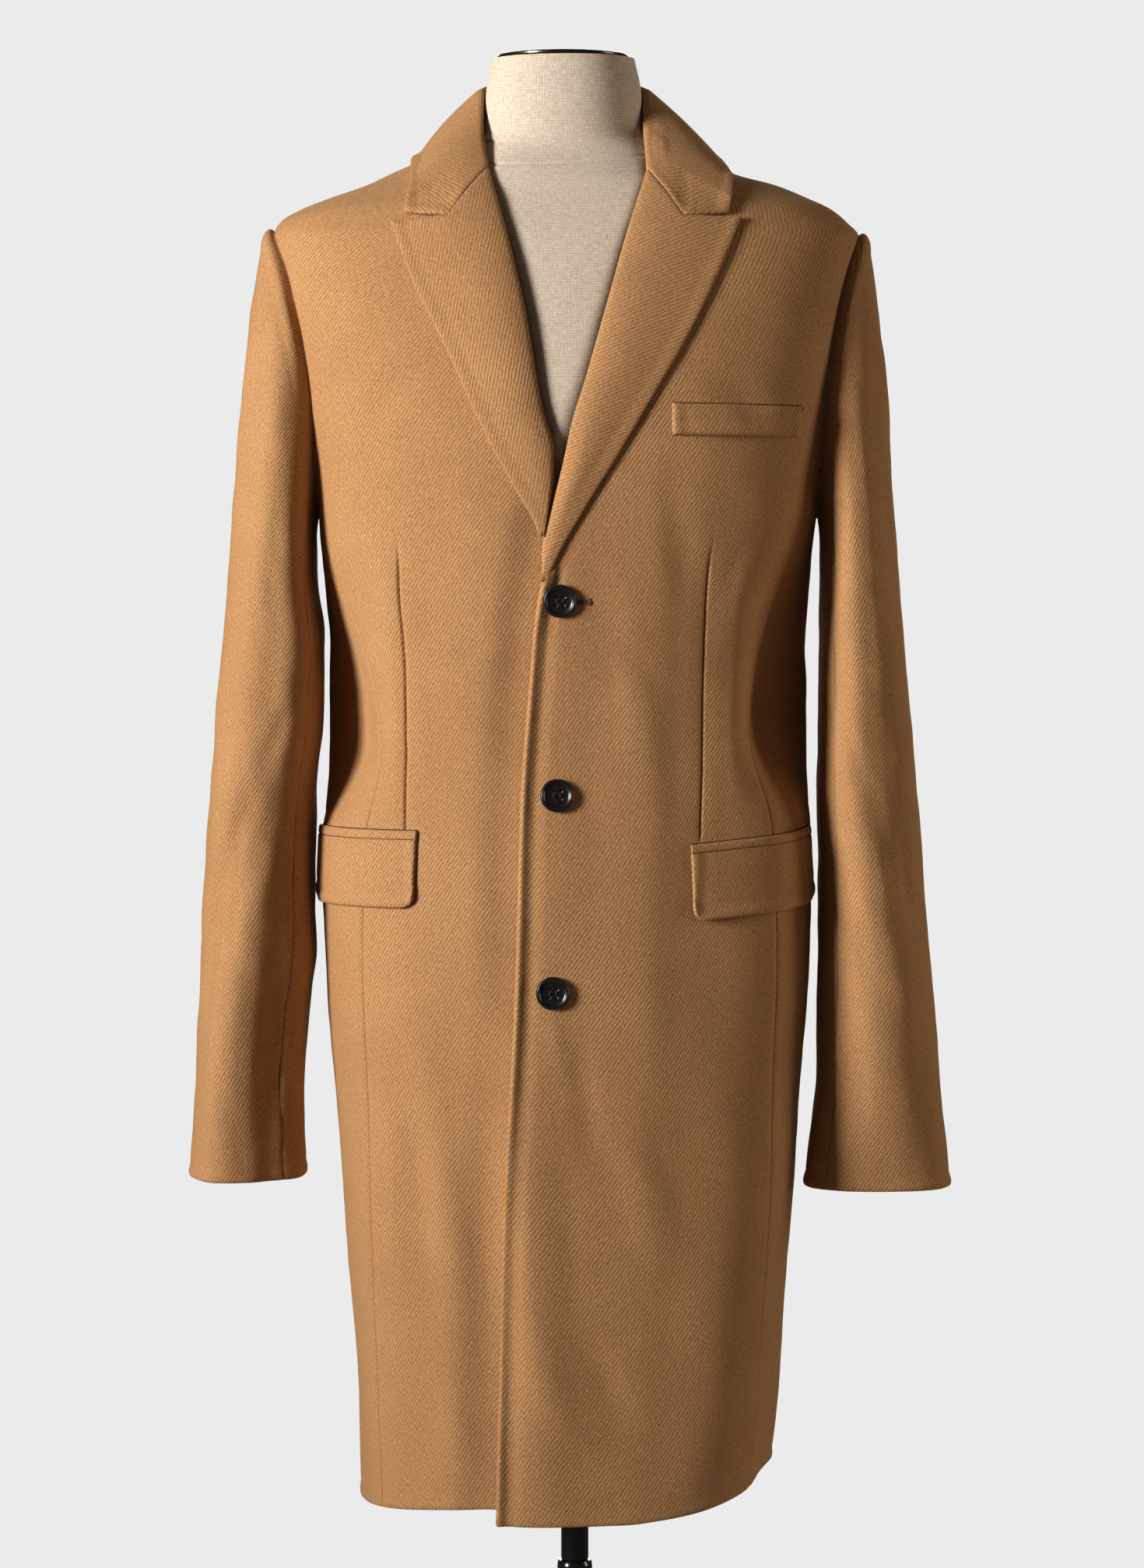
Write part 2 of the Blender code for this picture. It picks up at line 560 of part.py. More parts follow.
def sleeve_grid(side, psi):
    """Outer face of a sleeve, from the armhole to the cuff."""
    arm = sleeve_rings(side, psi, ARM_ROWS + 1)
    turn_z = armhole(side, psi)
    start = body_point(turn_z[:, 0], turn_z[:, 1]) + np.array([side * SEAM_GAP * 1.17, 0, 0])
    high = (1 + np.cos(np.radians(psi))) / 2
    leave = np.stack([side * (HEAD_OUT[0] + HEAD_OUT[1] * high),
                      -HEAD_FRONT * np.sin(np.radians(psi)),
                      HEAD_RISE[0] + HEAD_RISE[1] * high], axis=-1)
    reach = np.linalg.norm(arm[0] - start, axis=1)[:, None]
    leave = leave * np.minimum(1.0, reach / HEAD_REACH)
    arrive = (arm[1] - arm[0]) / np.linalg.norm(arm[1] - arm[0], axis=1)[:, None] * reach
    share = np.linspace(0, 1, CAP_ROWS + 1)[:-1, None, None]
    cap = (start * (1 + 2 * share) * (1 - share) ** 2 + leave * share * (1 - share) ** 2
           + arm[0] * share ** 2 * (3 - 2 * share) - arrive * share ** 2 * (1 - share))
    return np.concatenate([cap, arm])


def make_sleeve(side, collection):
    psi = np.arange(0, 360, PSI_STEP)
    outer = sleeve_grid(side, psi)
    normals = grid_normals(outer, flip=side, closed=True)
    inner = outer - normals * WALL
    name = "left" if side > 0 else "right"
    start, end = SLEEVE_FRONT_PSI // PSI_STEP, SLEEVE_BACK_PSI // PSI_STEP
    under = np.arange(start, end + 1)
    top = np.arange(end, start + len(psi) + 1) % len(psi)
    for part, columns in (("top", top), ("under", under)):
        grids = [pull_in(grid[:, columns]) for grid in (outer, inner)]
        node = f"sleeve_{part}_{name}"
        add_object(node, wall_mesh(node, *grids), CLOTH, collection)


# ---------------------------------------------------------------- lapels and collar
Nose = namedtuple("Nose", "out_s out_d in_s in_d")
NOSE = [                 # the roll round the front's edge: along the row, and outwards
    Nose(-0.0033, -0.0024, -0.0003, -0.0024), Nose(-0.0034, -0.0002, -0.0003, -0.0006),
    Nose(-0.0022, 0.0024, -0.0003, LAY_GAP),
]
FLAT_NOSE = [            # the same where the roll runs on beneath the other front
    Nose(-0.0004, 0.0009, -0.0003, LAY_GAP), Nose(-0.0003, 0.0019, -0.0001, LAY_GAP),
    Nose(0.0, 0.0028, 0.0001, LAY_GAP),
]
CORNER_SHARE = 0.42
ACROSS = [0.06, 0.22, CORNER_SHARE, 0.62, 0.82, 1.0]
REST = LAY_GAP + LAPEL_WALL / 2


def turned_row(roll, edge, corner, weight, puff, wrap=1.0):
    """Outer and inner face of one row of a lapel, from inside the roll to the free edge."""
    along = unit(lerp(edge, corner, weight) - roll)
    outer, inner = [], []
    for full, flat in zip(NOSE, FLAT_NOSE):
        nose = Nose(*[lerp(f, g, wrap) for f, g in zip(flat, full)])
        outer.append((*(roll + along * nose.out_s), nose.out_d))
        inner.append((*(roll + along * nose.in_s), nose.in_d))
    for share in ACROSS:
        if share <= CORNER_SHARE:
            bent = lerp(roll, corner, share / CORNER_SHARE)
        else:
            bent = lerp(corner, edge, (share - CORNER_SHARE) / (1 - CORNER_SHARE))
        spot = lerp(lerp(roll, edge, share), bent, weight)
        rise = puff * 6.75 * share * (1 - share) ** 2
        outer.append((*spot, LAY_GAP + LAPEL_WALL + rise))
        inner.append((*spot, LAY_GAP + rise))
    return [front_lay(*np.array(face).T) for face in (outer, inner)]


def make_lapel(side, collection):
    roll = Route(OVER_LAPEL_ROLL if side > 0 else UNDER_LAPEL_ROLL)
    edge = Route(OVER_LAPEL_EDGE if side > 0 else UNDER_LAPEL_EDGE)
    gorge = OVER_GORGE if side > 0 else UNDER_GORGE
    faces = []
    for share in 1 - np.linspace(1, 0, LAPEL_ROWS) ** 1.25:
        weight = ramp((share - BEND_FROM) / (1 - BEND_FROM)) ** 1.5
        wrap = 1.0 if side > 0 else ramp((roll(share)[1] - UNDER_NOSE_Z) / UNDER_NOSE_RAMP)
        puff = LAPEL_PUFF * ramp(share / 0.3)
        fallen = (roll(share) - roll(1) + edge(share) - edge(1)) / 2
        corner = np.array([gorge.x, gorge.z]) + fallen
        faces.append(turned_row(roll(share), edge(share), corner, weight, puff, wrap))
    outer, inner = (pull_in(np.array(face), (False, True), (False, False))
                    for face in zip(*faces))
    name = "lapel_left" if side > 0 else "lapel_right"
    add_object(name, wall_mesh(name, outer, inner), CLOTH, collection)


def keep_off(points, clear):
    """Moves points that lie in or on the coat out to the given distance from it."""
    turn = np.arctan2(points[:, 0], -points[:, 1])
    z = np.minimum(points[:, 2], BODY[-1].z)
    normal = body_normal(turn, z)
    radial = np.stack([np.sin(turn), -np.cos(turn), 0 * turn], axis=-1)
    reach = np.hypot(points[:, 0], points[:, 1]) - body_radius(turn, z)
    out = reach * np.abs((normal * radial).sum(axis=1)) + (points[:, 2] - z) * normal[:, 2]
    return points + normal * np.maximum(clear - out, 0.0)[:, None]


def collar_row(fold, edge, neck, middle, step):
    """Mid surface of one row of the collar: up the stand, over the fold, down the fall."""
    out = fold - middle
    out[2] = 0
    out = unit(out)
    up = np.array([0, 0, 1.0])
    into = fold - out * FOLD_HALF - up * FOLD_DROP
    away = fold + out * FOLD_HALF - up * FOLD_DROP
    row = [neck, into, fold, away]
    beside = lerp(0.15, 1.0, float(ramp((min(step, 8 - step) - 0.3) / 0.9)))
    for share in ACROSS[1:-1]:
        bulge = FALL_BULGE * beside * math.sin(math.pi * share)
        row.append(lerp(away, edge, share) + unit(out + up) * bulge)
    return np.array(row + [edge])


def collar_grid():
    """Rows of the collar from the right gorge round the back to the left one."""
    ends = {-1: (UNDER_LAPEL_ROLL[-1], UNDER_GORGE, UNDER_CORNER),
            1: (OVER_LAPEL_ROLL[-1], OVER_GORGE, OVER_CORNER)}
    middle = np.array([NECK_X, NECK_Y, 0])
    tracks = []
    for side in (-1, 1):
        roll, _, corner = ends[side]
        turn = float(front_turn(roll.x, roll.z))
        fold = [front_lay(roll.x, roll.z, REST)]
        edge = [front_lay(corner.x, corner.z, REST)]
        neck = [body_point(turn, roll.z, -WALL / 2)]
        for row in COLLAR:
            angle = side * math.radians(row.turn)
            spot = middle + np.array([math.sin(angle), -math.cos(angle), 0]) * row.radius
            spot[2] = row.z
            fold.append(spot)
            rest = REST + EDGE_LIFT
            edge.append(body_point(side * math.radians(row.edge_turn), row.edge_z, rest))
            height = min(row.neck_z, BODY[-1].z)
            base = body_point(side * math.radians(row.neck_turn), height, -WALL / 2)
            base[2] = row.neck_z + NECK_LIFT
            neck.append(base)
        tracks.append([fold, edge, neck])
    whole = [np.array(tracks[0][k] + tracks[1][k][-2::-1]) for k in range(3)]
    place = np.arange(len(whole[0]))
    curves = [[Curve(place, track[:, axis]) for axis in range(3)] for track in whole]
    steps = COLLAR_STEPS + [4.0]
    at = steps + [8 - s for s in steps[-2::-1]]
    rows = []
    for step in at:
        fold, edge, neck = (np.array([float(c(step)) for c in track]) for track in curves)
        row = collar_row(fold, edge, neck, middle, step)
        row[4:] = keep_off(row[4:], REST + 2 * EDGE_LIFT)
        rows.append(row)
    gorges = {}
    for side, first in ((-1, 0), (1, -1)):
        roll, gorge, corner = ends[side]
        spots = [np.array([p.x, p.z + LAY_GAP]) for p in (roll, corner, gorge)]
        gorges[first] = turned_row(*spots, 1.0, LAPEL_PUFF)
        rows[first] = (gorges[first][0] + gorges[first][1]) / 2
    return np.array(rows), gorges


def make_collar(collection):
    grid, gorges = collar_grid()
    offset = grid_normals(grid, flip=-1) * LAPEL_WALL / 2
    outer, inner = grid + offset, grid - offset
    for first, (out, into) in gorges.items():
        outer[first], inner[first] = out, into
    add_object("collar", wall_mesh("collar", outer, inner), CLOTH, collection)


# ---------------------------------------------------------------- pockets
def patch_grid(patch, columns, rows, shift=0.0, height=None):
    """Turns and heights of a patch, its lower corners rounded."""
    height = patch.height if height is None else height
    share = np.linspace(0, 1, columns + 1)
    turn = np.radians(lerp(patch.inner, patch.outer, share))
    top = lerp(patch.top_inner, patch.top_outer, share) + shift
    length = abs(math.radians(patch.outer - patch.inner)) * PATCH_METRIC
    off = np.minimum(share, 1 - share) * length
    inside = np.clip(1 - off / max(patch.radius, 1e-6), 0, 1)
    bottom = top - height + patch.radius * (1 - np.sqrt(1 - inside ** 2))
    down = np.linspace(1, 0, rows + 1)[:, None]
    return turn[None, :] + 0 * down, lerp(top[None, :], bottom[None, :], down)


def make_patch(name, patch, collection, **shape):
    turn, z = patch_grid(patch, **shape)
    outer = body_point(turn, z, LAY_GAP + TRIM_WALL)
    inner = body_point(turn, z, LAY_GAP)
    add_object(name, wall_mesh(name, outer, inner), CLOTH, collection)


def make_pockets(collection):
    for side, word in ((-1, "right"), (1, "left")):
        flap = FLAPS[side]
        make_patch(f"flap_{word}", flap, collection, columns=12, rows=3)
        jet = flap._replace(radius=0.0, height=JET_HEIGHT)
        make_patch(f"jet_{word}", jet, collection, columns=9, rows=1,
                   shift=JET_HEIGHT + SEAM_GAP)
    make_patch("breast_welt", WELT, collection, columns=8, rows=2)


# ---------------------------------------------------------------- turned parts
def turned(name, profile, finish, collection, sides=24):
    """Solid of revolution about Z from a profile of radius and height."""
    data = bpy.data.meshes.new(name)
    data.from_pydata([(r, 0, z) for r, z in profile], [(i, i + 1) for i in range(len(profile) - 1)],
                     [])
    made = add_object(name, data, finish, collection)
    screw = made.modifiers.new("turn", "SCREW")
    screw.steps = screw.render_steps = sides
    screw.use_merge_vertices = True
    screw.merge_threshold = 0.00001
    screw.use_normal_flip = True
    return made


def make_button(index, place, collection, cutters):
    rim, height = BUTTON_RADIUS, BUTTON_HEIGHT
    profile = [(0, 0), (rim * 0.75, 0), (rim, height * 0.45), (rim * 0.98, height * 0.8),
               (rim * 0.90, height), (rim * 0.80, height * 0.92), (rim * 0.66, height * 0.62),
               (0, height * 0.55)]
    made = turned(f"button_{index}", profile, HORN, collection, 18)
    turn = front_turn(place.x, place.z)
    normal = body_normal(turn, place.z)
    for x_side in (-1, 1):
        for z_side in (-1, 1):
            bpy.ops.mesh.primitive_cylinder_add(vertices=6, radius=HOLE_RADIUS, depth=0.02)
            hole = bpy.context.object
            hole.name = f"hole_{index}_{x_side}_{z_side}"
            hole.location = (x_side * HOLE_SPREAD, z_side * HOLE_SPREAD, 0)
            hole.parent = made
            hole.hide_render = True
            hole.display_type = "WIRE"
            for linked in list(hole.users_collection):
                linked.objects.unlink(hole)
            cutters.objects.link(hole)
            cut = made.modifiers.new("hole", "BOOLEAN")
            cut.object = hole
            cut.solver = "EXACT"
    made.location = body_point(turn, place.z, 0.0005)
    across = unit(np.cross([0, 0, 1.0], normal))
    up = np.cross(normal, across)
    from_axes = np.stack([across, up, normal], axis=1)
    made.rotation_euler = mathutils.Matrix(from_axes.tolist()).to_euler()


# ---------------------------------------------------------------- dress form and stand
def form_rings():
    half, front, back, middle = (table_curve(FORM, "z", name)
                                 for name in ("half", "front", "back", "middle"))
    z = np.concatenate([np.linspace(FORM[0].z, 1.35, 13),
                        np.linspace(1.37, FORM[-1].z, FORM_ROWS - 13)])
    turn = np.arange(FORM_SIDES) * 2 * math.pi / FORM_SIDES
    turn = np.where(turn > math.pi, turn - 2 * math.pi, turn)
    rings = []
    for height in z:
        wide = half(height) + np.sign(np.sin(turn)) * middle(height)
        deep = np.where(np.cos(turn) > 0, front(height), back(height))
        radius = ((np.abs(np.sin(turn)) / wide) ** FORM_SQUARE
                  + (np.abs(np.cos(turn)) / deep) ** FORM_SQUARE) ** (-1 / FORM_SQUARE)
        if height < BODY[-1].z:
            carried = bump((np.degrees(np.abs(turn)) - SEAT_TURN) / SEAT_SPREAD)
            carried = carried * bump((height - SEAT_Z) / SEAT_REACH)
            open_front = ramp((70 - np.degrees(np.abs(turn))) / 30)
            clear = lerp(CLEAR_IN, NECK_IN, open_front * ramp((height - 1.405) / 0.025))
            inset = lerp(clear, SEAT_IN, carried)
            radius = np.minimum(radius, body_radius(turn, height + SEAT_DOWN) - inset)
        rings.append([(r * math.sin(t), -r * math.cos(t), height)
                      for r, t in zip(radius, turn)])
    return rings


def make_form(collection):
    mesh = bmesh.new()
    rings = [[mesh.verts.new(p) for p in ring] for ring in form_rings()]
    count = FORM_SIDES
    for low, high in zip(rings, rings[1:]):
        for j in range(count):
            mesh.faces.new((low[j], low[(j + 1) % count], high[(j + 1) % count], high[j]))
    mesh.faces.new(rings[0])
    mesh.faces.new(rings[-1])
    bmesh.ops.recalc_face_normals(mesh, faces=mesh.faces)
    data = bpy.data.meshes.new("dress_form")
    mesh.to_mesh(data)
    mesh.free()
    add_object("dress_form", data, LINEN, collection)


def make_stand(collection):
    top = FORM[-1].z + SEAM_GAP
    cap = turned("neck_cap", [(0, 0), (0.0460, 0), (0.0475, 0.0008), (0.0475, 0.0024),
                              (0.0465, 0.0032), (0, 0.0032)], CAP, collection)
    cap.location = (NECK_X, NECK_Y, top)
    foot = BASE_HEIGHT + SEAM_GAP
    tube_top = POLE_FOOT_Z - SEAM_GAP - foot
    reach = FORM[0].z - SEAM_GAP - POLE_FOOT_Z
    pole = turned("pole", [(0, 0), (POLE_RADIUS, 0), (POLE_RADIUS, reach), (0, reach)],
                  BLACK, collection)
    pole.location = (POLE_X, 0, POLE_FOOT_Z)
    collar = turned("pole_collar", [(0, 0), (0.030, 0), (0.030, 0.006), (0.018, 0.020),
                                    (TUBE_RADIUS, 0.030), (TUBE_RADIUS, tube_top - 0.004),
                                    (TUBE_RADIUS - 0.001, tube_top), (0, tube_top)],
                    BLACK, collection)
    collar.location = (POLE_X, 0, foot)
    base = turned("base", [(0, 0), (BASE_RADIUS - 0.002, 0), (BASE_RADIUS, 0.002),
                           (BASE_RADIUS, 0.005), (BASE_RADIUS - 0.004, 0.0085),
                           (0.060, BASE_HEIGHT), (0, BASE_HEIGHT)], BLACK, collection, 40)
    base.location = (0, 0, 0)


def new_collection(name):
    made = bpy.data.collections.new(name)
    bpy.context.scene.collection.children.link(made)
    return made


def main():
    for old in list(bpy.data.objects):
        bpy.data.objects.remove(old, do_unlink=True)
    collection = new_collection("overcoat_on_dress_form")
    cutters = new_collection("cutters")
    for side in (-1, 1):
        make_front(side, collection)
        make_side(side, collection)
        make_back(side, collection)
        make_sleeve(side, collection)
        make_lapel(side, collection)
    make_collar(collection)
    make_pockets(collection)
    for index, place in enumerate(BUTTONS, 1):
        make_button(index, place, collection, cutters)
    make_form(collection)
    make_stand(collection)


main()
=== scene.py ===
"""Dresses a long wool overcoat on its linen form: fine cloth, seams, finishes, floor and light.

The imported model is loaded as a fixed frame, in metres, +Z up, front at -Y and the wearer's left
at +X. Each panel of cloth is a thin shell on the form of its own solid, with its creases, rolled
edges and seams, and carries a map in metres that its twill follows.
"""
from __future__ import annotations

import logging
import math
from dataclasses import dataclass, field
from enum import Enum
from typing import NamedTuple, Sequence

import bmesh
import bpy
import numpy as np
from mathutils import Matrix, Vector

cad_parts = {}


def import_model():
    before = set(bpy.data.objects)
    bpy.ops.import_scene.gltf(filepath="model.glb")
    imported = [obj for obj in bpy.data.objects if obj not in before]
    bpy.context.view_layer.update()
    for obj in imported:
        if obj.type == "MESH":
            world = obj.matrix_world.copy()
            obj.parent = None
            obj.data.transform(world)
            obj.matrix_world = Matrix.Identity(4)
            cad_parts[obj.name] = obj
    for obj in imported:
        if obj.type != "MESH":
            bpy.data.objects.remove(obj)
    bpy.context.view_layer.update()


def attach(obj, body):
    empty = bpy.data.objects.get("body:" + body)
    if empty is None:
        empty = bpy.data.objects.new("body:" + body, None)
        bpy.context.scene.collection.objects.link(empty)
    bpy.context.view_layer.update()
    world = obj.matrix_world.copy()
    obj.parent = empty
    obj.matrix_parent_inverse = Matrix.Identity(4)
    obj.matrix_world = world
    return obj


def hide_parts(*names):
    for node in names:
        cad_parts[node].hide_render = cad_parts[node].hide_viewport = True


Array = np.ndarray
LOG = logging.getLogger("overcoat")

WALL = 0.0024
LAPEL_WALL = 0.0030
TRIM_WALL = 0.0026
SEAM_GAP = 0.0003
LAY_GAP = 0.0004
OVERLAP_RAMP = 0.0260
OVERLAP_ROOM = 0.0014
NOSE_ROOM = 0.0080
EDGE_LIFT = 0.0010
SPLIT_Z = 1.100
HEM_Z = 0.484
CELL = 0.0040
GIRTH_RADIUS = 0.135
EDGE_ROUND = 0.0006
EDGE_SINK = 0.0007
SEAM_REACH, SEAM_SWELL = 0.0028, 0.0002
FREE_REACH, TURNING_RISE, STITCH_SINK = 0.0014, 0.0006, 0.0003
THREAD_RADIUS = 0.00028


class Side(Enum):
    """A side of the wearer; the value is the sign of X there."""

    RIGHT = -1
    LEFT = 1

    @property
    def word(self) -> str:
        """The side's name as the nodes spell it."""
        return self.name.lower()


class Border(Enum):
    """What a border of a panel is."""

    PLAIN = "plain"
    SEAM = "seam"
    FREE = "free"


class Section(NamedTuple):
    """One level section of the coat: half widths, depths and squareness."""

    z: float
    left: float
    right: float
    front: float
    back: float
    square: float


class Fold(NamedTuple):
    """A broad fold: turn and spread in degrees, reach up and down, lean, depth outwards."""

    turn: float
    z: float
    spread: float
    above: float
    below: float
    lean: float
    depth: float


class Crease(NamedTuple):
    """A narrow crease between two places, with its half width, depth outwards and bend."""

    turn: float
    z: float
    to_turn: float
    to_z: float
    width: float
    depth: float
    bend: float


class Point(NamedTuple):
    """A point of the front as it is seen: its height and its place across."""

    z: float
    x: float


class Seam(NamedTuple):
    """The turns of a side panel's two seams at a height, in degrees."""

    z: float
    front: float
    back: float


class Hem(NamedTuple):
    """The height of the lowest edge at a turn in degrees."""

    turn: float
    z: float


class Arm(NamedTuple):
    """Heights of an armhole, and how far it is cut into front and back, in degrees."""

    tip_z: float
    base_z: float
    front: float
    back: float


class Ring(NamedTuple):
    """One section of a sleeve: its outermost, innermost, front and back places."""

    z: float
    outer: float
    inner: float
    front: float
    back: float


class Station(NamedTuple):
    """One place round the collar: its fold, free edge and neck seam."""

    turn: float
    radius: float
    z: float
    edge_turn: float
    edge_z: float
    neck_turn: float
    neck_z: float


class Torso(NamedTuple):
    """One section of the dress form."""

    z: float
    middle: float
    half: float
    front: float
    back: float


class Nose(NamedTuple):
    """A point of the roll round a front's edge: along the row, and outwards, on both faces."""

    out_s: float
    out_d: float
    in_s: float
    in_d: float


class Patch(NamedTuple):
    """A flap, jet or welt: its turns, top heights, height and corner radius."""

    inner: float
    outer: float
    top_inner: float
    top_outer: float
    height: float
    radius: float


def listed(kind: type, *values: Sequence[object]) -> list:
    """A table of the given kind of row."""
    return [kind(*value) for value in values]


BODY = listed(
    Section, (0.480, 0.1515, 0.1400, 0.127, 0.130, 2.3),
    (0.560, 0.1535, 0.1490, 0.127, 0.130, 2.3), (0.650, 0.1607, 0.1570, 0.126, 0.131, 2.3),
    (0.760, 0.1680, 0.1630, 0.126, 0.132, 2.4), (0.850, 0.1760, 0.1697, 0.126, 0.132, 2.4),
    (0.930, 0.1795, 0.1720, 0.124, 0.130, 2.4), (1.016, 0.1765, 0.1700, 0.117, 0.119, 2.4),
    (1.100, 0.1780, 0.1710, 0.120, 0.118, 2.4), (1.190, 0.1820, 0.1765, 0.124, 0.122, 2.5),
    (1.260, 0.1915, 0.1850, 0.122, 0.126, 2.5), (1.320, 0.2035, 0.1960, 0.114, 0.125, 2.5),
    (1.360, 0.2110, 0.2035, 0.103, 0.117, 2.4), (1.383, 0.2145, 0.2060, 0.094, 0.109, 2.3),
    (1.394, 0.2090, 0.1970, 0.088, 0.103, 2.2), (1.403, 0.1940, 0.1860, 0.083, 0.098, 2.2),
    (1.411, 0.1740, 0.1690, 0.078, 0.093, 2.1), (1.420, 0.1480, 0.1470, 0.072, 0.088, 2.1),
    (1.428, 0.1310, 0.1175, 0.067, 0.083, 2.0), (1.438, 0.1090, 0.0990, 0.062, 0.076, 2.0),
    (1.452, 0.0840, 0.0740, 0.056, 0.068, 2.0))
FOLDS = listed(
    Fold, (-75, 1.022, 23, 0.150, 0.064, 0, -0.023), (73, 1.043, 24, 0.150, 0.078, 0, -0.030),
    (44, 0.980, 20, 0.320, 0.360, 10, -0.005), (20, 1.000, 15, 0.330, 0.330, 10, 0.002),
    (-15, 0.850, 34, 0.560, 0.700, 16, 0.0055), (-28, 0.700, 15, 0.260, 0.260, -40, -0.006),
    (-12, 0.640, 14, 0.220, 0.220, -20, 0.004), (48, 0.620, 20, 0.220, 0.220, 30, 0.006),
    (74, 0.560, 18, 0.200, 0.200, 10, -0.006), (-60, 0.600, 18, 0.240, 0.240, 0, 0.004),
    (150, 0.680, 16, 0.330, 0.330, 10, -0.009), (-148, 0.660, 16, 0.330, 0.330, -10, -0.009),
    (172, 0.640, 13, 0.300, 0.300, 0, 0.006), (126, 1.020, 16, 0.170, 0.170, 0, -0.008),
    (-126, 1.020, 16, 0.170, 0.170, 0, -0.008), (120, 1.270, 16, 0.130, 0.130, 0, 0.006),
    (-120, 1.270, 16, 0.130, 0.130, 0, 0.006))
CREASES = listed(
    Crease, (-14, 0.640, 9, 0.515, 0.022, 0.0022, 0.006),
    (2, 0.640, 24, 0.520, 0.020, -0.0018, 0.004), (15, 0.800, 36, 0.640, 0.024, 0.0024, 0.008),
    (2, 0.840, 9, 0.715, 0.016, -0.0018, 0.003), (-6, 0.850, -2, 0.790, 0.010, 0.0012, 0.002),
    (-52, 0.850, -43, 0.570, 0.024, -0.0030, -0.006),
    (-40, 0.770, -33, 0.630, 0.020, 0.0020, 0.004),
    (-41, 0.580, -22, 0.505, 0.020, 0.0020, 0.004), (30, 1.240, 40, 1.100, 0.018, -0.0016, 0.006),
    (18, 1.150, 26, 0.980, 0.020, 0.0014, 0.004), (-20, 1.160, -34, 1.020, 0.022, 0.0005, -0.004),
    (-12, 1.120, -40, 1.070, 0.012, -0.0005, 0.004),
    (12, 1.110, 36, 1.050, 0.013, -0.0012, 0.004), (56, 1.230, 40, 1.290, 0.018, -0.0018, 0.006),
    (-58, 1.230, -40, 1.300, 0.018, -0.0016, -0.006),
    (60, 1.180, 48, 1.080, 0.016, 0.0016, 0.006), (-60, 1.180, -50, 1.080, 0.016, 0.0016, -0.006),
    (166, 1.180, 148, 1.060, 0.018, -0.0020, 0.008),
    (-168, 1.150, -146, 1.040, 0.018, -0.0020, -0.008),
    (158, 1.020, 134, 0.960, 0.016, -0.0022, 0.006),
    (-156, 1.000, -136, 0.950, 0.015, -0.0020, -0.006),
    (132, 1.300, 152, 1.200, 0.020, -0.0022, 0.008),
    (-130, 1.310, -150, 1.210, 0.022, -0.0024, -0.008),
    (-174, 1.380, -176, 1.260, 0.020, 0.0010, 0.003),
    (164, 0.900, 170, 0.560, 0.026, 0.0030, 0.008),
    (-160, 0.860, -166, 0.540, 0.026, 0.0032, -0.008),
    (142, 0.780, 138, 0.520, 0.022, -0.0026, 0.006),
    (-138, 0.800, -142, 0.540, 0.022, -0.0024, -0.006),
    (100, 0.820, 94, 0.540, 0.024, -0.0028, 0.006),
    (-98, 0.780, -92, 0.530, 0.024, -0.0026, -0.006),
    (112, 0.700, 118, 0.520, 0.020, 0.0024, 0.004),
    (-114, 0.720, -110, 0.500, 0.020, 0.0022, 0.004),
    (88, 1.150, 100, 1.060, 0.014, -0.0018, 0.004),
    (-88, 1.150, -102, 1.060, 0.014, -0.0018, -0.004),
    (86, 0.980, 108, 0.940, 0.013, -0.0020, 0.004),
    (-86, 0.975, -106, 0.945, 0.013, -0.0018, -0.004))
OVER_EDGE = listed(
    Point, (0.480, -0.0520), (0.624, -0.0490), (0.854, -0.0380), (0.990, -0.0340),
    (1.077, -0.0280), (1.123, -0.0237), (1.146, -0.0195), (1.168, -0.0156), (1.194, -0.0092),
    (1.218, -0.0032), (1.249, 0.0035), (1.272, 0.0108), (1.324, 0.0255), (1.377, 0.0404),
    (1.424, 0.0543))
UNDER_EDGE = listed(
    Point, (0.480, 0.0140), (0.854, 0.0120), (1.077, 0.0120), (1.125, 0.0080), (1.180, 0.0000),
    (1.213, -0.0120), (1.261, -0.0243), (1.322, -0.0348), (1.377, -0.0475), (1.426, -0.0604))
OVER_LAPEL_ROLL = listed(
    Point, (1.138, -0.0208), (1.146, -0.0195), (1.168, -0.0156), (1.194, -0.0092),
    (1.218, -0.0032), (1.249, 0.0035), (1.272, 0.0108), (1.324, 0.0255), (1.377, 0.0404),
    (1.424, 0.0543))
OVER_LAPEL_EDGE = listed(
    Point, (1.139, -0.0180), (1.149, -0.0132), (1.158, -0.0092), (1.185, 0.0059), (1.220, 0.0275),
    (1.247, 0.0438), (1.272, 0.0584), (1.324, 0.0880), (1.392, 0.1181))
UNDER_LAPEL_ROLL = listed(
    Point, (1.1700, -0.0190), (1.194, -0.0150), (1.214, -0.0130), (1.261, -0.0243),
    (1.322, -0.0348), (1.377, -0.0475), (1.426, -0.0604))
UNDER_LAPEL_EDGE = listed(
    Point, (1.1690, -0.0210), (1.182, -0.0268), (1.195, -0.0345), (1.241, -0.0594),
    (1.303, -0.0883), (1.349, -0.1114), (1.389, -0.1264))
OVER_GORGE, OVER_CORNER = Point(1.3905, 0.0779), Point(1.3945, 0.1089)
UNDER_GORGE, UNDER_CORNER = Point(1.3912, -0.0866), Point(1.3950, -0.1170)
SIDE_SEAMS = listed(Seam, (0.480, 61, 128), (0.850, 61, 129), (1.016, 60, 130), (1.100, 67, 124))
HEM = listed(Hem, (-180, 0.4840), (-90, 0.4820), (-60, 0.4870), (-25, 0.4950), (10, 0.4955))
OVER_HEM = listed(
    Hem, (-30, 0.4845), (15, 0.4850), (35, 0.4890), (60, 0.4990), (85, 0.5050), (130, 0.4980),
    (180, 0.4840))
ARMHOLES = {
    Side.RIGHT: Arm(1.3870, 1.184, 14.5, 13.5),
    Side.LEFT: Arm(1.3840, 1.184, 14.5, 13.5),
}
FRONT_PSI, BACK_PSI = 150, 240
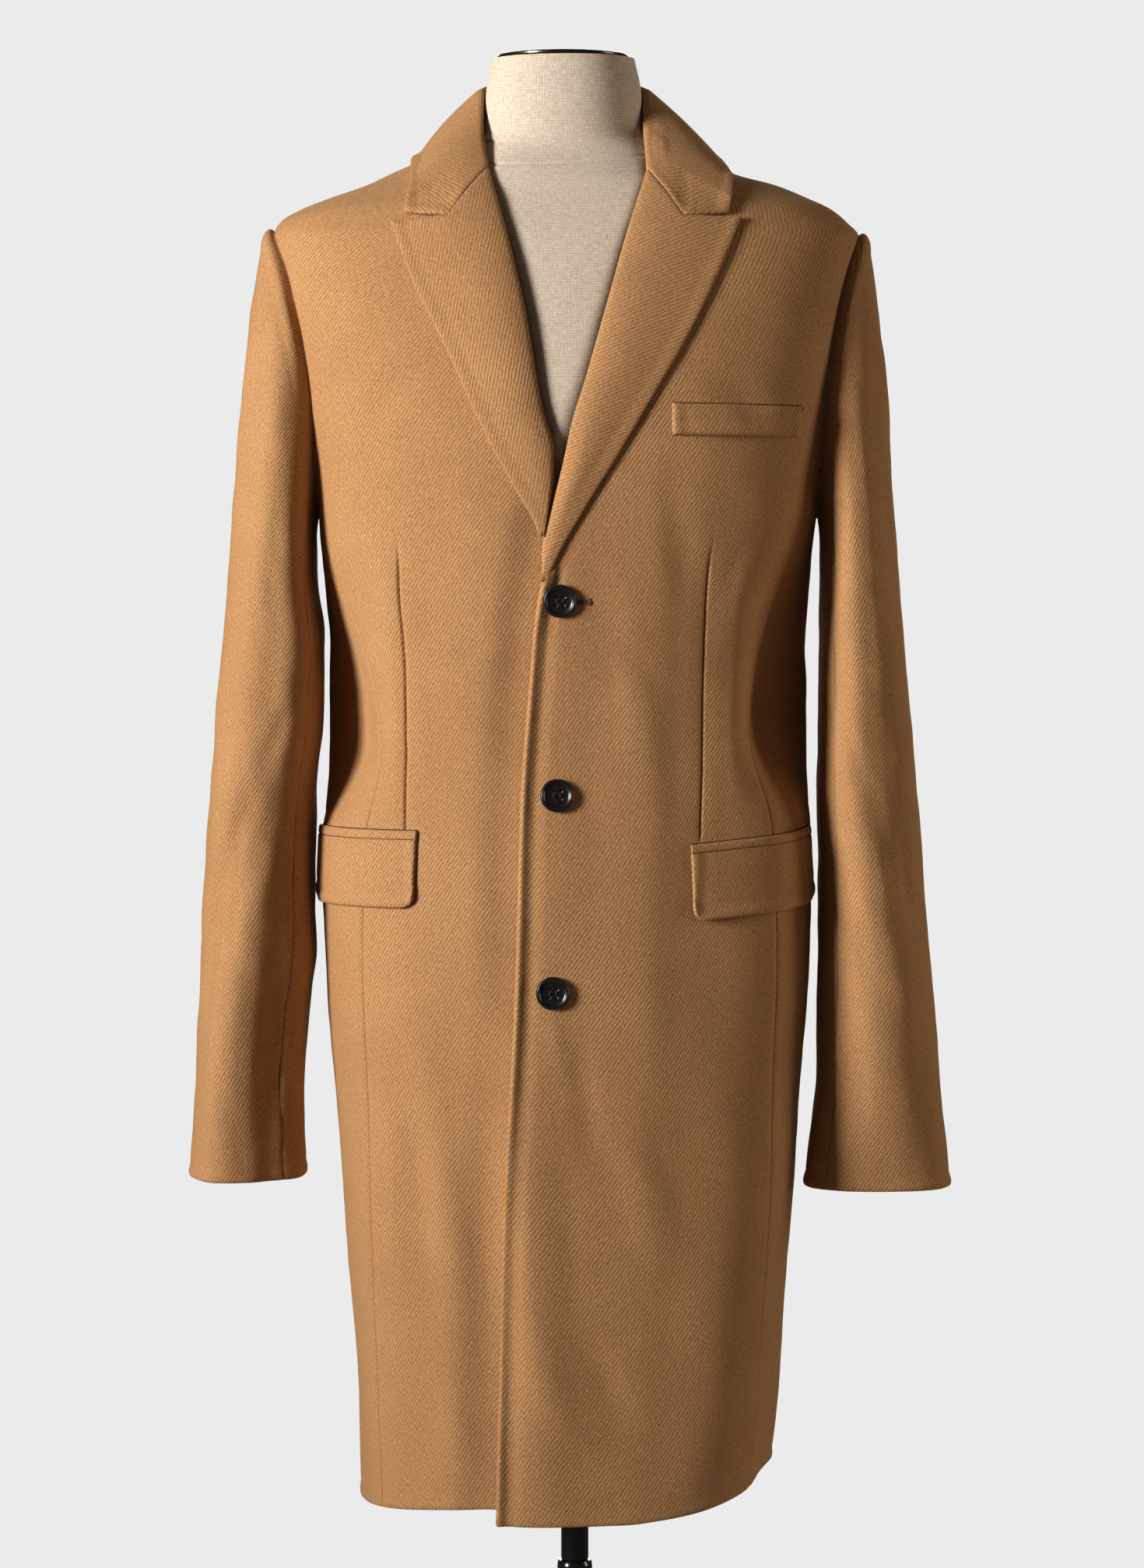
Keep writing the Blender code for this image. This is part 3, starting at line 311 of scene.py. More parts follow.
SLEEVE_FRONT_PSI, SLEEVE_BACK_PSI = 135, 240
SLEEVES = {
    Side.RIGHT: listed(
        Ring, (1.130, 0.2465, 0.1828, -0.070, 0.080), (1.090, 0.2500, 0.1782, -0.071, 0.079),
        (1.050, 0.2535, 0.1785, -0.071, 0.078), (0.983, 0.2595, 0.1840, -0.072, 0.074),
        (0.938, 0.2630, 0.1845, -0.072, 0.070), (0.871, 0.2665, 0.1840, -0.070, 0.063),
        (0.826, 0.2685, 0.1890, -0.068, 0.057), (0.781, 0.2700, 0.1920, -0.066, 0.051),
        (0.740, 0.2720, 0.1920, -0.063, 0.046), (0.712, 0.2740, 0.1905, -0.061, 0.044)),
    Side.LEFT: listed(
        Ring, (1.130, 0.2350, 0.1790, -0.070, 0.080), (1.050, 0.2425, 0.1775, -0.071, 0.078),
        (0.983, 0.2480, 0.1765, -0.072, 0.073), (0.938, 0.2510, 0.1775, -0.070, 0.067),
        (0.871, 0.2565, 0.1770, -0.066, 0.058), (0.826, 0.2602, 0.1760, -0.062, 0.050),
        (0.781, 0.2642, 0.1752, -0.056, 0.043), (0.740, 0.2680, 0.1700, -0.051, 0.037),
        (0.704, 0.2720, 0.1655, -0.048, 0.034)),
}
SLEEVE_FOLDS = {
    Side.RIGHT: listed(
        Fold, (60, 0.900, 45, 0.120, 0.120, 300, -0.006),
        (60, 1.200, 34, 0.150, 0.150, 0, -0.004), (30, 1.080, 40, 0.200, 0.200, -60, 0.002),
        (122, 1.120, 30, 0.200, 0.170, 0, 0.0045), (88, 1.100, 26, 0.160, 0.150, 0, -0.002),
        (118, 0.800, 40, 0.240, 0.300, 0, -0.009), (62, 0.800, 26, 0.240, 0.300, 0, 0.003)),
    Side.LEFT: listed(
        Fold, (62, 1.230, 30, 0.140, 0.140, 0, -0.004), (28, 1.230, 22, 0.160, 0.160, 0, 0.003),
        (60, 0.940, 40, 0.110, 0.110, 260, -0.005), (85, 0.800, 40, 0.110, 0.110, 0, 0.004),
        (112, 1.150, 30, 0.240, 0.300, 0, 0.0045), (70, 1.080, 30, 0.180, 0.200, 0, -0.002)),
}
SLEEVE_CREASES = {
    Side.RIGHT: listed(
        Crease, (96, 1.010, 60, 0.900, 0.016, -0.0022, 0.005),
        (110, 0.960, 74, 0.850, 0.015, 0.0018, 0.004),
        (60, 0.960, 40, 0.850, 0.014, -0.0016, 0.003),
        (118, 1.060, 92, 0.990, 0.012, -0.0018, 0.003),
        (30, 1.330, 22, 1.190, 0.014, 0.0014, 0.003),
        (200, 1.000, 250, 0.930, 0.014, -0.0024, 0.004),
        (205, 0.940, 255, 0.900, 0.012, -0.0018, 0.003),
        (300, 1.120, 320, 0.960, 0.016, -0.0016, 0.004),
        (330, 0.930, 350, 0.800, 0.016, 0.0014, 0.004),
        (280, 1.300, 300, 1.180, 0.016, -0.0018, 0.004)),
    Side.LEFT: listed(
        Crease, (98, 1.000, 64, 0.890, 0.015, -0.0020, 0.005),
        (112, 0.940, 80, 0.840, 0.016, 0.0020, 0.004),
        (66, 0.980, 44, 0.880, 0.013, -0.0014, 0.003),
        (124, 1.050, 98, 0.980, 0.012, -0.0016, 0.003),
        (34, 1.335, 24, 1.230, 0.011, 0.0018, 0.003),
        (104, 0.860, 84, 0.760, 0.018, 0.0020, 0.004),
        (202, 1.010, 250, 0.940, 0.014, -0.0022, 0.004),
        (208, 0.950, 258, 0.905, 0.012, -0.0018, 0.003),
        (304, 1.100, 322, 0.950, 0.016, -0.0016, 0.004),
        (282, 1.290, 302, 1.170, 0.016, -0.0018, 0.004)),
}
COLLAR = listed(
    Station, (62, 0.0680, 1.4600, 65, 1.4170, 66, 1.4400),
    (96, 0.0605, 1.4890, 97, 1.4365, 90, 1.4540), (136, 0.0640, 1.4930, 138, 1.4310, 135, 1.4560),
    (180, 0.0670, 1.4940, 180, 1.4260, 180, 1.4560))
FORM = listed(
    Torso, (0.800, 0.000, 0.128, 0.086, 0.090), (0.812, 0.000, 0.137, 0.093, 0.098),
    (0.900, 0.000, 0.148, 0.099, 0.104), (1.030, 0.000, 0.124, 0.085, 0.086),
    (1.150, 0.000, 0.146, 0.106, 0.094), (1.250, -0.001, 0.163, 0.113, 0.101),
    (1.320, -0.002, 0.174, 0.1030, 0.100), (1.360, -0.003, 0.180, 0.0920, 0.092),
    (1.385, -0.003, 0.182, 0.0830, 0.082), (1.410, -0.004, 0.180, 0.0700, 0.074),
    (1.430, -0.005, 0.140, 0.0580, 0.067), (1.446, -0.006, 0.080, 0.051, 0.061),
    (1.456, -0.006, 0.062, 0.050, 0.060), (1.470, -0.006, 0.0575, 0.050, 0.059),
    (1.490, -0.006, 0.0555, 0.049, 0.058), (1.511, -0.006, 0.0510, 0.047, 0.056))
NOSE = listed(
    Nose, (-0.0033, -0.0024, -0.0003, -0.0024), (-0.0034, -0.0002, -0.0003, -0.0006),
    (-0.0022, 0.0024, -0.0003, LAY_GAP))
FLAT_NOSE = listed(
    Nose, (-0.0004, 0.0009, -0.0003, LAY_GAP), (-0.0003, 0.0019, -0.0001, LAY_GAP),
    (0.0, 0.0028, 0.0001, LAY_GAP))
DARTS = {
    Side.RIGHT: listed(Point, (0.9600, -0.1162), (1.0680, -0.1167), (1.1715, -0.1222)),
    Side.LEFT: listed(
        Point, (0.9600, 0.0923), (1.0200, 0.0940), (1.0678, 0.0940), (1.1156, 0.0950),
        (1.1477, 0.0967), (1.1715, 0.1010)),
}
FLAPS = {
    Side.RIGHT: Patch(-45.5, -83.0, 0.9575, 0.9560, 0.0470, 0.009),
    Side.LEFT: Patch(37.0, 78.0, 0.9480, 0.9560, 0.0465, 0.009),
}
WELT = Patch(30.5, 64.5, 1.2613, 1.2600, 0.0216, 0.0)
BUTTONS = listed(Point, (1.1244, -0.0081), (0.9895, -0.0102), (0.8539, -0.0129))


# ---------------------------------------------------------------- curves and small tools
class Curve:
    """Monotone cubic through a short table."""

    def __init__(self, places: Sequence[float], values: Sequence[float]) -> None:
        """Keeps the table and works out its slopes."""
        self.at = np.asarray(places, float)
        self.value = np.asarray(values, float)
        self.step = np.diff(self.at)
        rise = np.diff(self.value) / self.step
        grade = np.concatenate(([rise[0]], np.zeros(len(rise) - 1), [rise[-1]]))
        for i in range(1, len(rise)):
            if rise[i - 1] * rise[i] > 0:
                grade[i] = 2 / (1 / rise[i - 1] + 1 / rise[i])
        self.grade = grade

    @classmethod
    def of(cls, table: Sequence[NamedTuple], key: str, value: str) -> "Curve":
        """A curve of one named column of a table against another."""
        return cls([getattr(row, key) for row in table], [getattr(row, value) for row in table])

    def __call__(self, place: Array) -> Array:
        """Values at the given places."""
        place = np.asarray(place, float)
        i = np.clip(np.searchsorted(self.at, place) - 1, 0, len(self.step) - 1)
        t = np.clip((place - self.at[i]) / self.step[i], 0.0, 1.0)
        start, end = self.value[i], self.value[i + 1]
        out, into = self.grade[i] * self.step[i], self.grade[i + 1] * self.step[i]
        return hermite(start, end, out, into, t)


class Route:
    """Smooth curve through points seen from the front, by its share of length."""

    def __init__(self, points: Sequence[Point]) -> None:
        """Measures the points' run."""
        xz = np.array([(p.x, p.z) for p in points])
        run = np.concatenate(([0.0], np.cumsum(np.linalg.norm(np.diff(xz, axis=0), axis=1))))
        self.x = Curve(run / run[-1], xz[:, 0])
        self.z = Curve(run / run[-1], xz[:, 1])

    def __call__(self, share: float) -> Array:
        """The point at a share of the length."""
        return np.stack([self.x(share), self.z(share)], axis=-1)


def lerp(start: Array, end: Array, share: Array) -> Array:
    """Straight mix of two values."""
    return start + (end - start) * share


def unit(vectors: Array) -> Array:
    """Vectors of length one."""
    return vectors / np.maximum(np.linalg.norm(vectors, axis=-1, keepdims=True), 1e-9)


def bump(t: Array) -> Array:
    """Smooth hump, 1 at zero and nothing past one."""
    return np.where(np.abs(t) < 1, (1 - t * t) ** 2, 0.0)


def ramp(t: Array) -> Array:
    """Smooth step from 0 to 1."""
    t = np.clip(t, 0.0, 1.0)
    return t * t * (3 - 2 * t)


def dome(share: Array) -> Array:
    """Hump of one between 0 and 1, its top at a third."""
    return 6.75 * share * (1 - share) ** 2


def hermite(start: Array, end: Array, leave: Array, arrive: Array, t: Array) -> Array:
    """Cubic from one value to another that leaves and arrives with the given slopes."""
    return (start * (1 + 2 * t) * (1 - t) ** 2 + leave * t * (1 - t) ** 2
            + end * t * t * (3 - 2 * t) - arrive * t * t * (1 - t))


def oval(turn: Array, half: Array, deep: Array, square: Array) -> Array:
    """Distance from the axis to a squared oval with the given half width and depth."""
    across = (np.abs(np.sin(turn)) / half) ** square
    along = (np.abs(np.cos(turn)) / deep) ** square
    return (across + along) ** (-1 / square)


def around(radius: Array, turn: Array, z: Array) -> Array:
    """Points at a distance from the upright axis, 0 being the front."""
    return np.stack([radius * np.sin(turn), -radius * np.cos(turn), z + 0 * radius], axis=-1)


def spacing(length: float, cell: float, fine_start: bool, fine_end: bool) -> Array:
    """Places from 0 to 1 along a length, closer together beside its fine ends.

    Args:
        length: the length in metres.
        cell: the spacing away from the ends.
        fine_start: whether the start is an edge that needs its roll shown.
        fine_end: the same for the end.

    Returns:
        The places, as shares of the length.
    """
    close = np.array([0.0, 0.0005, 0.0012, 0.0021, 0.0033, 0.0050])
    start = close if fine_start else np.array([0.0])
    end = length - (close if fine_end else np.array([0.0]))[::-1]
    count = max(int(round((end[0] - start[-1]) / cell)), 1)
    middle = np.linspace(start[-1], end[0], count + 1)[1:-1]
    return np.concatenate([start, middle, end]) / length


def run_along(grid: Array, axis: int) -> Array:
    """Length run along a grid of points from its first row or column."""
    step = np.linalg.norm(np.diff(grid, axis=axis), axis=-1)
    start = np.zeros_like(np.take(step, [0], axis=axis))
    return np.concatenate([start, np.cumsum(step, axis=axis)], axis=axis)


def grid_normals(grid: Array, flip: float = 1.0) -> Array:
    """Unit normals of a grid of points, rows first."""
    across = np.gradient(grid, axis=1)
    up = np.gradient(grid, axis=0)
    return unit(np.cross(across, up)) * flip


def smooth_line(points: Array, parts: int) -> Array:
    """Splits each stretch of a line of points into parts, on a curve through them all."""
    ends = np.concatenate([[2 * points[0] - points[1]], points, [2 * points[-1] - points[-2]]])
    before, start, end, after = ends[:-3], ends[1:-2], ends[2:-1], ends[3:]
    pieces = []
    for t in np.arange(parts) / parts:
        pieces.append(0.5 * (2 * start + (end - before) * t
                             + (2 * before - 5 * start + 4 * end - after) * t * t
                             + (3 * start - before - 3 * end + after) * t ** 3))
    line = np.stack(pieces, axis=1).reshape(-1, *points.shape[1:])
    return np.concatenate([line, points[-1:]])


def fold_depth(folds: Sequence[Fold], turn: Array, z: Array) -> Array:
    """Depth outwards of all the broad folds at the given turns and heights."""
    total = np.zeros(np.broadcast(turn, z).shape)
    for fold in folds:
        off = (np.degrees(turn) - fold.turn - fold.lean * (z - fold.z) + 180) % 360 - 180
        reach = np.where(z > fold.z, fold.above, fold.below)
        total = total + fold.depth * bump(off / fold.spread) * bump((z - fold.z) / reach)
    return total


def crease_depth(creases: Sequence[Crease], turn: Array, z: Array, radius: float) -> Array:
    """Depth outwards of all the narrow creases.

    Args:
        creases: the table of creases.
        turn: turns in radians.
        z: heights.
        radius: metres along the surface for a radian of turn.

    Returns:
        The depth at each place.
    """
    total = np.zeros(np.broadcast(turn, z).shape)
    for crease in creases:
        off = (np.degrees(turn) - crease.turn + 180) % 360 - 180
        s = np.radians(off) * radius
        h = z - crease.z
        far_s = math.radians(crease.to_turn - crease.turn) * radius
        far_h = crease.to_z - crease.z
        length = math.hypot(far_s, far_h)
        along = (s * far_s + h * far_h) / length ** 2
        beside = (s * far_h - h * far_s) / length
        middle = 2 * along - 1
        beside = beside - crease.bend * (1 - middle * middle)
        width = crease.width * (0.75 + 0.35 * np.clip(along, 0, 1))
        total = total + crease.depth * bump(beside / width) * bump(middle)
    return total


def ripple(u: Array, v: Array, size: float, seed: int) -> Array:
    """Soft uneven swell of about one, with swells of the given size in metres."""
    maker = np.random.default_rng(seed)
    total = np.zeros(np.broadcast(u, v).shape)
    for _ in range(7):
        angle, phase = maker.uniform(0, 2 * math.pi, 2)
        wave = 2 * math.pi / (size * maker.uniform(0.7, 1.6))
        total = total + np.sin(wave * (u * math.cos(angle) + v * math.sin(angle)) + phase)
    return total / 3.0


# ---------------------------------------------------------------- finishes
class Wiring:
    """Adds and joins the nodes of one material."""

    def __init__(self, name: str) -> None:
        """Makes the material with a bare Principled shader."""
        self.material = bpy.data.materials.new(name)
        self.material.use_nodes = True
        self.tree = self.material.node_tree
        self.shader = self.tree.nodes["Principled BSDF"]

    def add(self, kind: str, **values: object) -> bpy.types.Node:
        """Adds a node; a value goes to the input or the property of its name."""
        node = self.tree.nodes.new(kind)
        for name, value in values.items():
            socket = node.inputs.get(name.replace("_", " "))
            if socket is None:
                setattr(node, name, value)
            else:
                socket.default_value = value
        return node

    def join(self, start: bpy.types.NodeSocket, end: bpy.types.NodeSocket) -> None:
        """Links an output to an input."""
        self.tree.links.new(start, end)

    def math(self, kind: str, first: object, second: object) -> bpy.types.NodeSocket:
        """Adds a sum of two sockets or numbers and gives its result."""
        node = self.tree.nodes.new("ShaderNodeMath")
        node.operation = kind
        for socket, value in zip(node.inputs, (first, second)):
            if isinstance(value, bpy.types.NodeSocket):
                self.join(value, socket)
            else:
                socket.default_value = value
        return node.outputs[0]

    def blend(self, share: bpy.types.NodeSocket, low: Sequence[float],
              high: Sequence[float]) -> bpy.types.NodeSocket:
        """Mixes two colours by a share and gives the colour."""
        node = self.add("ShaderNodeMix", data_type="RGBA")
        for socket, value in zip((s for s in node.inputs if s.type == "RGBA"), (low, high)):
            if isinstance(value, bpy.types.NodeSocket):
                self.join(value, socket)
            else:
                socket.default_value = (*value, 1.0)
        self.join(share, node.inputs[0])
        return next(s for s in node.outputs if s.type == "RGBA")

    def place(self, scale: Sequence[float], layer: str = "") -> bpy.types.NodeSocket:
        """A scaled vector of the piece's own map, or of its object's coordinates."""
        if layer:
            source = self.add("ShaderNodeUVMap", uv_map=layer).outputs[0]
        else:
            source = self.add("ShaderNodeTexCoord").outputs["Object"]
        mapping = self.add("ShaderNodeMapping")
        mapping.inputs["Scale"].default_value = scale
        self.join(source, mapping.inputs["Vector"])
        return mapping.outputs[0]

    def mixed(self, value: bpy.types.NodeSocket, factor: float,
              plus: float) -> bpy.types.NodeSocket:
        """A value times one number plus another."""
        return self.math("ADD", self.math("MULTIPLY", value, factor), plus)

    def stretch(self, value: bpy.types.NodeSocket, low: float, high: float,
                **values: object) -> bpy.types.NodeSocket:
        """A value's share of the way from low to high."""
        node = self.add("ShaderNodeMapRange", **values)
        node.inputs["From Min"].default_value = low
        node.inputs["From Max"].default_value = high
        self.join(value, node.inputs["Value"])
        return node.outputs[0]

    def base(self, share: bpy.types.NodeSocket, low: Sequence[float],
             high: Sequence[float]) -> None:
        """Sends a mix of two colours to the shader's base colour."""
        self.join(self.blend(share, low, high), self.shader.inputs["Base Color"])

    def noise(self, vector: bpy.types.NodeSocket, scale: float, detail: float,
              rough: float) -> bpy.types.NodeSocket:
        """A noise value over a vector."""
        node = self.add("ShaderNodeTexNoise", Scale=scale, Detail=detail, Roughness=rough)
        self.join(vector, node.inputs["Vector"])
        return node.outputs["Fac"]

    def set(self, **values: object) -> None:
        """Sets the shader's own sockets."""
        for name, value in values.items():
            self.shader.inputs[name.replace("_", " ")].default_value = value

    def relief(self, height: bpy.types.NodeSocket, strength: float, distance: float) -> None:
        """Sends a height to the shader's normal."""
        node = self.add("ShaderNodeBump", Strength=strength, Distance=distance)
        self.join(height, node.inputs["Height"])
        self.join(node.outputs[0], self.shader.inputs["Normal"])


@dataclass(frozen=True)
class CamelTwill:
    """Napped camel wool with steep ribs; its map's first axis runs across the ribs."""

    name: str = "camel_twill"
    # Dark end of the melange; it also paints the shade in the grooves between the ribs.
    dark_fibre_and_groove_shade: tuple[float, float, float] = (0.330, 0.156, 0.060)
    rib: tuple[float, float, float] = (0.612, 0.370, 0.190)
    pale: tuple[float, float, float] = (0.780, 0.540, 0.330)
    pitch: float = 0.0023

    def make(self) -> bpy.types.Material:
        """Builds the material.

        Returns:
            The material, whose ribs, loose fibres and nap follow the map called cloth.
        """
        wiring = Wiring(self.name)
        flat = wiring.place((1.0, 1.0, 1.0), "cloth")
        ribs = wiring.add("ShaderNodeTexWave", wave_type="BANDS", bands_direction="X",
                          wave_profile="SIN", Scale=2 * math.pi / (20 * self.pitch),
                          Distortion=2.4, Detail=3.0, Detail_Scale=1.6)
        wiring.join(flat, ribs.inputs["Vector"])
        fibre = wiring.noise(wiring.place((1.0, 0.50, 1.0), "cloth"), 950.0, 4.0, 0.80)
        yarn = wiring.noise(wiring.place((0.60, 1.0, 1.0), "cloth"), 520.0, 3.0, 0.70)
        cloud = wiring.noise(flat, 22.0, 3.0, 0.55)
        worn = wiring.noise(flat, 9.0, 2.0, 0.5)
        rib = wiring.math("MULTIPLY", ribs.outputs["Fac"], wiring.mixed(worn, 0.52, 0.06))
        height = wiring.math("ADD", rib,
                             wiring.math("ADD", wiring.math("MULTIPLY", fibre, 1.10),
                                         wiring.math("MULTIPLY", yarn, 0.70)))
        # The colour follows the relief's height: the fibre and yarn noise gives the melange, and
        # the ribs add painted shade in their grooves and lighter crests.
        base = wiring.blend(wiring.stretch(height, 0.68, 1.34), self.dark_fibre_and_groove_shade, self.rib)
        loose = wiring.noise(wiring.place((1.0, 0.40, 1.0), "cloth"), 800.0, 2.0, 0.7)
        fleck = wiring.math("MULTIPLY", wiring.stretch(loose, 0.58, 0.76), 0.5)
        colour = wiring.blend(fleck, base, self.pale)
        tone = wiring.add("ShaderNodeHueSaturation")
        wiring.join(wiring.mixed(cloud, 0.16, 0.92), tone.inputs["Value"])
        wiring.join(colour, tone.inputs["Color"])
        wiring.join(tone.outputs[0], wiring.shader.inputs["Base Color"])
        wiring.set(Roughness=0.94, Specular_IOR_Level=0.18, Sheen_Weight=0.22,
                   Sheen_Roughness=0.45, Sheen_Tint=(0.95, 0.72, 0.48, 1.0))
        wiring.relief(height, 0.80, 0.0006)
        return wiring.material


@dataclass(frozen=True)
class Linen:
    """Plain unbleached linen with slubs both ways."""

    name: str = "natural_linen"
    low: tuple[float, float, float] = (0.405, 0.322, 0.240)
    high: tuple[float, float, float] = (0.850, 0.755, 0.642)
    thread: float = 0.0012

    def make(self) -> bpy.types.Material:
        """Builds the weave from two sets of threads."""
        wiring = Wiring(self.name)
        flat = wiring.place((1.0, 1.0, 1.0), "cloth")
        sets = []
        for direction, stretch in (("X", (1.0, 0.16, 1.0)), ("Y", (0.10, 1.0, 1.0))):
            wave = wiring.add("ShaderNodeTexWave", wave_type="BANDS", bands_direction=direction,
                              Scale=2 * math.pi / (20 * self.thread), Distortion=1.2, Detail=1.0,
                              Detail_Scale=0.6)
            wiring.join(flat, wave.inputs["Vector"])
            slub = wiring.noise(wiring.place(stretch, "cloth"), 1100.0, 3.0, 0.7)
            sets.append(wiring.math("ADD", wiring.math("MULTIPLY", wave.outputs["Fac"], 0.30),
                                    wiring.math("MULTIPLY", slub, 0.70)))
        height = wiring.math("MULTIPLY", wiring.math("ADD", sets[0], sets[1]), 0.5)
        wiring.base(wiring.stretch(height, 0.34, 0.62), self.low, self.high)
        wiring.set(Roughness=0.9, Specular_IOR_Level=0.2)
        wiring.relief(height, 0.6, 0.0004)
        return wiring.material


@dataclass(frozen=True)
class Gloss:
    """A smooth dark finish: polished buttons, painted or plated metal."""

    name: str
    colour: tuple[float, float, float]
    rough: float
    metallic: float
    coat: float

    def make(self) -> bpy.types.Material:
        """Builds the finish with faint cloudiness, and fine wear in its roughness."""
        wiring = Wiring(self.name)
        spot = wiring.place((1.0, 1.0, 1.0))
        cloud = wiring.noise(spot, 60.0, 4.0, 0.6)
        wiring.base(cloud, [0.75 * c for c in self.colour], [1.3 * c for c in self.colour])
        wear = wiring.noise(spot, 240.0, 3.0, 0.7)
        wiring.join(wiring.mixed(wear, 0.16, self.rough), wiring.shader.inputs["Roughness"])
        wiring.set(Metallic=self.metallic, Coat_Weight=self.coat, Coat_Roughness=0.12)
        wiring.relief(wear, 0.08, 0.0002)
        return wiring.material


@dataclass(frozen=True)
class Thread:
    """Twisted sewing thread."""

    name: str
    colour: tuple[float, float, float]

    def make(self) -> bpy.types.Material:
        """Builds the thread's twist as fine bands."""
        wiring = Wiring(self.name)
        spot = wiring.place((1.0, 1.0, 1.0))
        twist = wiring.noise(spot, 2600.0, 2.0, 0.6)
        wiring.base(twist, [0.6 * c for c in self.colour], [1.4 * c for c in self.colour])
        wiring.set(Roughness=0.7, Sheen_Weight=0.15)
        wiring.relief(twist, 0.4, 0.0002)
        return wiring.material


class Wardrobe:
    """All the finishes, each made once."""

    def __init__(self) -> None:
        """Makes the finishes."""
        self.twill = CamelTwill().make()
        self.linen = Linen().make()
        self.horn = Gloss("black_horn", (0.012, 0.011, 0.012), 0.26, 0.0, 0.25).make()
        self.cap = Gloss("dark_metal", (0.085, 0.072, 0.064), 0.18, 0.9, 0.3).make()
        self.black = Gloss("black_metal", (0.018, 0.018, 0.019), 0.14, 0.3, 0.6).make()
        self.thread = Thread("button_thread", (0.030, 0.024, 0.024)).make()
        self.purl = Thread("buttonhole_thread", (0.200, 0.085, 0.060)).make()
        self.camel_thread = Thread("seam_thread", (0.330, 0.165, 0.070)).make()
        # Painted shadow: a near-black brown thread laid where the pockets' seams are in shade.
        self.shadow_line_thread = Thread("painted_shadow_thread", (0.070, 0.030, 0.012)).make()


# ---------------------------------------------------------------- meshes
def linked(name: str, data: bpy.types.ID) -> bpy.types.Object:
    """A new object of the scene with the given mesh, curve, lamp or camera."""
    made = bpy.data.objects.new(name, data)
    bpy.context.scene.collection.objects.link(made)
    return made


def pick(piece: bpy.types.Object) -> None:
    """Makes a piece the only one selected, and the active one."""
    bpy.ops.object.select_all(action="DESELECT")
    piece.select_set(True)
    bpy.context.view_layer.objects.active = piece


def dress(piece: bpy.types.Object, material: bpy.types.Material,
          nodes: Sequence[str] = ()) -> bpy.types.Object:
    """Gives a piece its finish and its place in the frame.

    Args:
        piece: the piece, at the origin.
        material: its finish.
        nodes: the nodes that it stands for.

    Returns:
        The same piece.
    """
    piece.data.materials.clear()
    piece.data.materials.append(material)
    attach(piece, "root")
    if nodes:
        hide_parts(*nodes)
    return piece


def perimeter(rows: int, columns: int) -> list[tuple[int, int]]:
    """The border of a grid in order."""
    border = [(0, j) for j in range(columns)] + [(i, columns - 1) for i in range(1, rows)]
    border += [(rows - 1, j) for j in range(columns - 2, -1, -1)]
    return border + [(i, 0) for i in range(rows - 2, 0, -1)]


def wall_object(name: str, outer: Array, inner: Array, cloth: Array,
                free: Array) -> bpy.types.Object:
    """Closed shell of cloth between two grids, its free edges rounded.

    Args:
        name: the piece's name.
        outer: grid of points of the face that shows.
        inner: grid of the other face.
        cloth: grid of the map's two values.
        free: for each point of the grid, how far its edge bulges, in metres.

    Returns:
        The new object.
    """
    rows, columns = outer.shape[:2]
    count = rows * columns
    index = np.arange(count).reshape(rows, columns)
    border = perimeter(rows, columns)
    near = [(min(max(i, 1), rows - 2), min(max(j, 1), columns - 2)) for i, j in border]
    middle = []
    for (i, j), (k, m) in zip(border, near):
        away = unit(outer[i, j] - outer[k, m])
        middle.append((outer[i, j] + inner[i, j]) / 2 + away * free[i, j])
    points = np.concatenate([outer.reshape(-1, 3), inner.reshape(-1, 3), np.array(middle)])
    flat = cloth.reshape(-1, 2)
    maps = np.concatenate([flat, flat, np.array([cloth[i, j] for i, j in border])])
    quads = np.stack([index[:-1, :-1], index[:-1, 1:], index[1:, 1:], index[1:, :-1]],
                     axis=-1).reshape(-1, 4)
    edge = np.array([index[i, j] for i, j in border])
    rim = 2 * count + np.arange(len(border))
    after = np.roll(np.arange(len(border)), -1)
    out_rim = np.stack([edge, rim, rim[after], edge[after]], axis=-1)
    in_rim = np.stack([rim, edge + count, edge[after] + count, rim[after]], axis=-1)
    faces = np.concatenate([quads, quads[:, ::-1] + count, out_rim, in_rim])
    data = bpy.data.meshes.new(f"{name}_cloth")
    data.from_pydata(points.tolist(), [], faces.tolist())
    layer = data.uv_layers.new(name="cloth")
    layer.data.foreach_set("uv", maps[faces.reshape(-1)].astype(np.float32).reshape(-1))
    work = bmesh.new()
    work.from_mesh(data)
    bmesh.ops.recalc_face_normals(work, faces=work.faces)
    work.to_mesh(data)
    work.free()
    data.shade_smooth()
    return linked(f"{name}_cloth", data)


def twill_piece(wardrobe: Wardrobe, name: str, *grids: Array) -> bpy.types.Object:
    """A shell of the coat's twill that stands for its node, from wall_object's grids."""
    return dress(wall_object(name, *grids), wardrobe.twill, [name])


def twill_map(u: Array, v: Array, lean: float = 56.0) -> Array:
    """Turns a piece's own measure so that its first axis runs across the ribs.

    Args:
        u: metres across the piece, to the right as seen from outside.
        v: metres up the piece.
        lean: degrees that the ribs rise from level.

    Returns:
        The map's two values.
    """
    angle = math.radians(lean)
    across = u * math.sin(angle) - v * math.cos(angle)
    return np.stack([across, u * math.cos(angle) + v * math.sin(angle)], axis=-1)


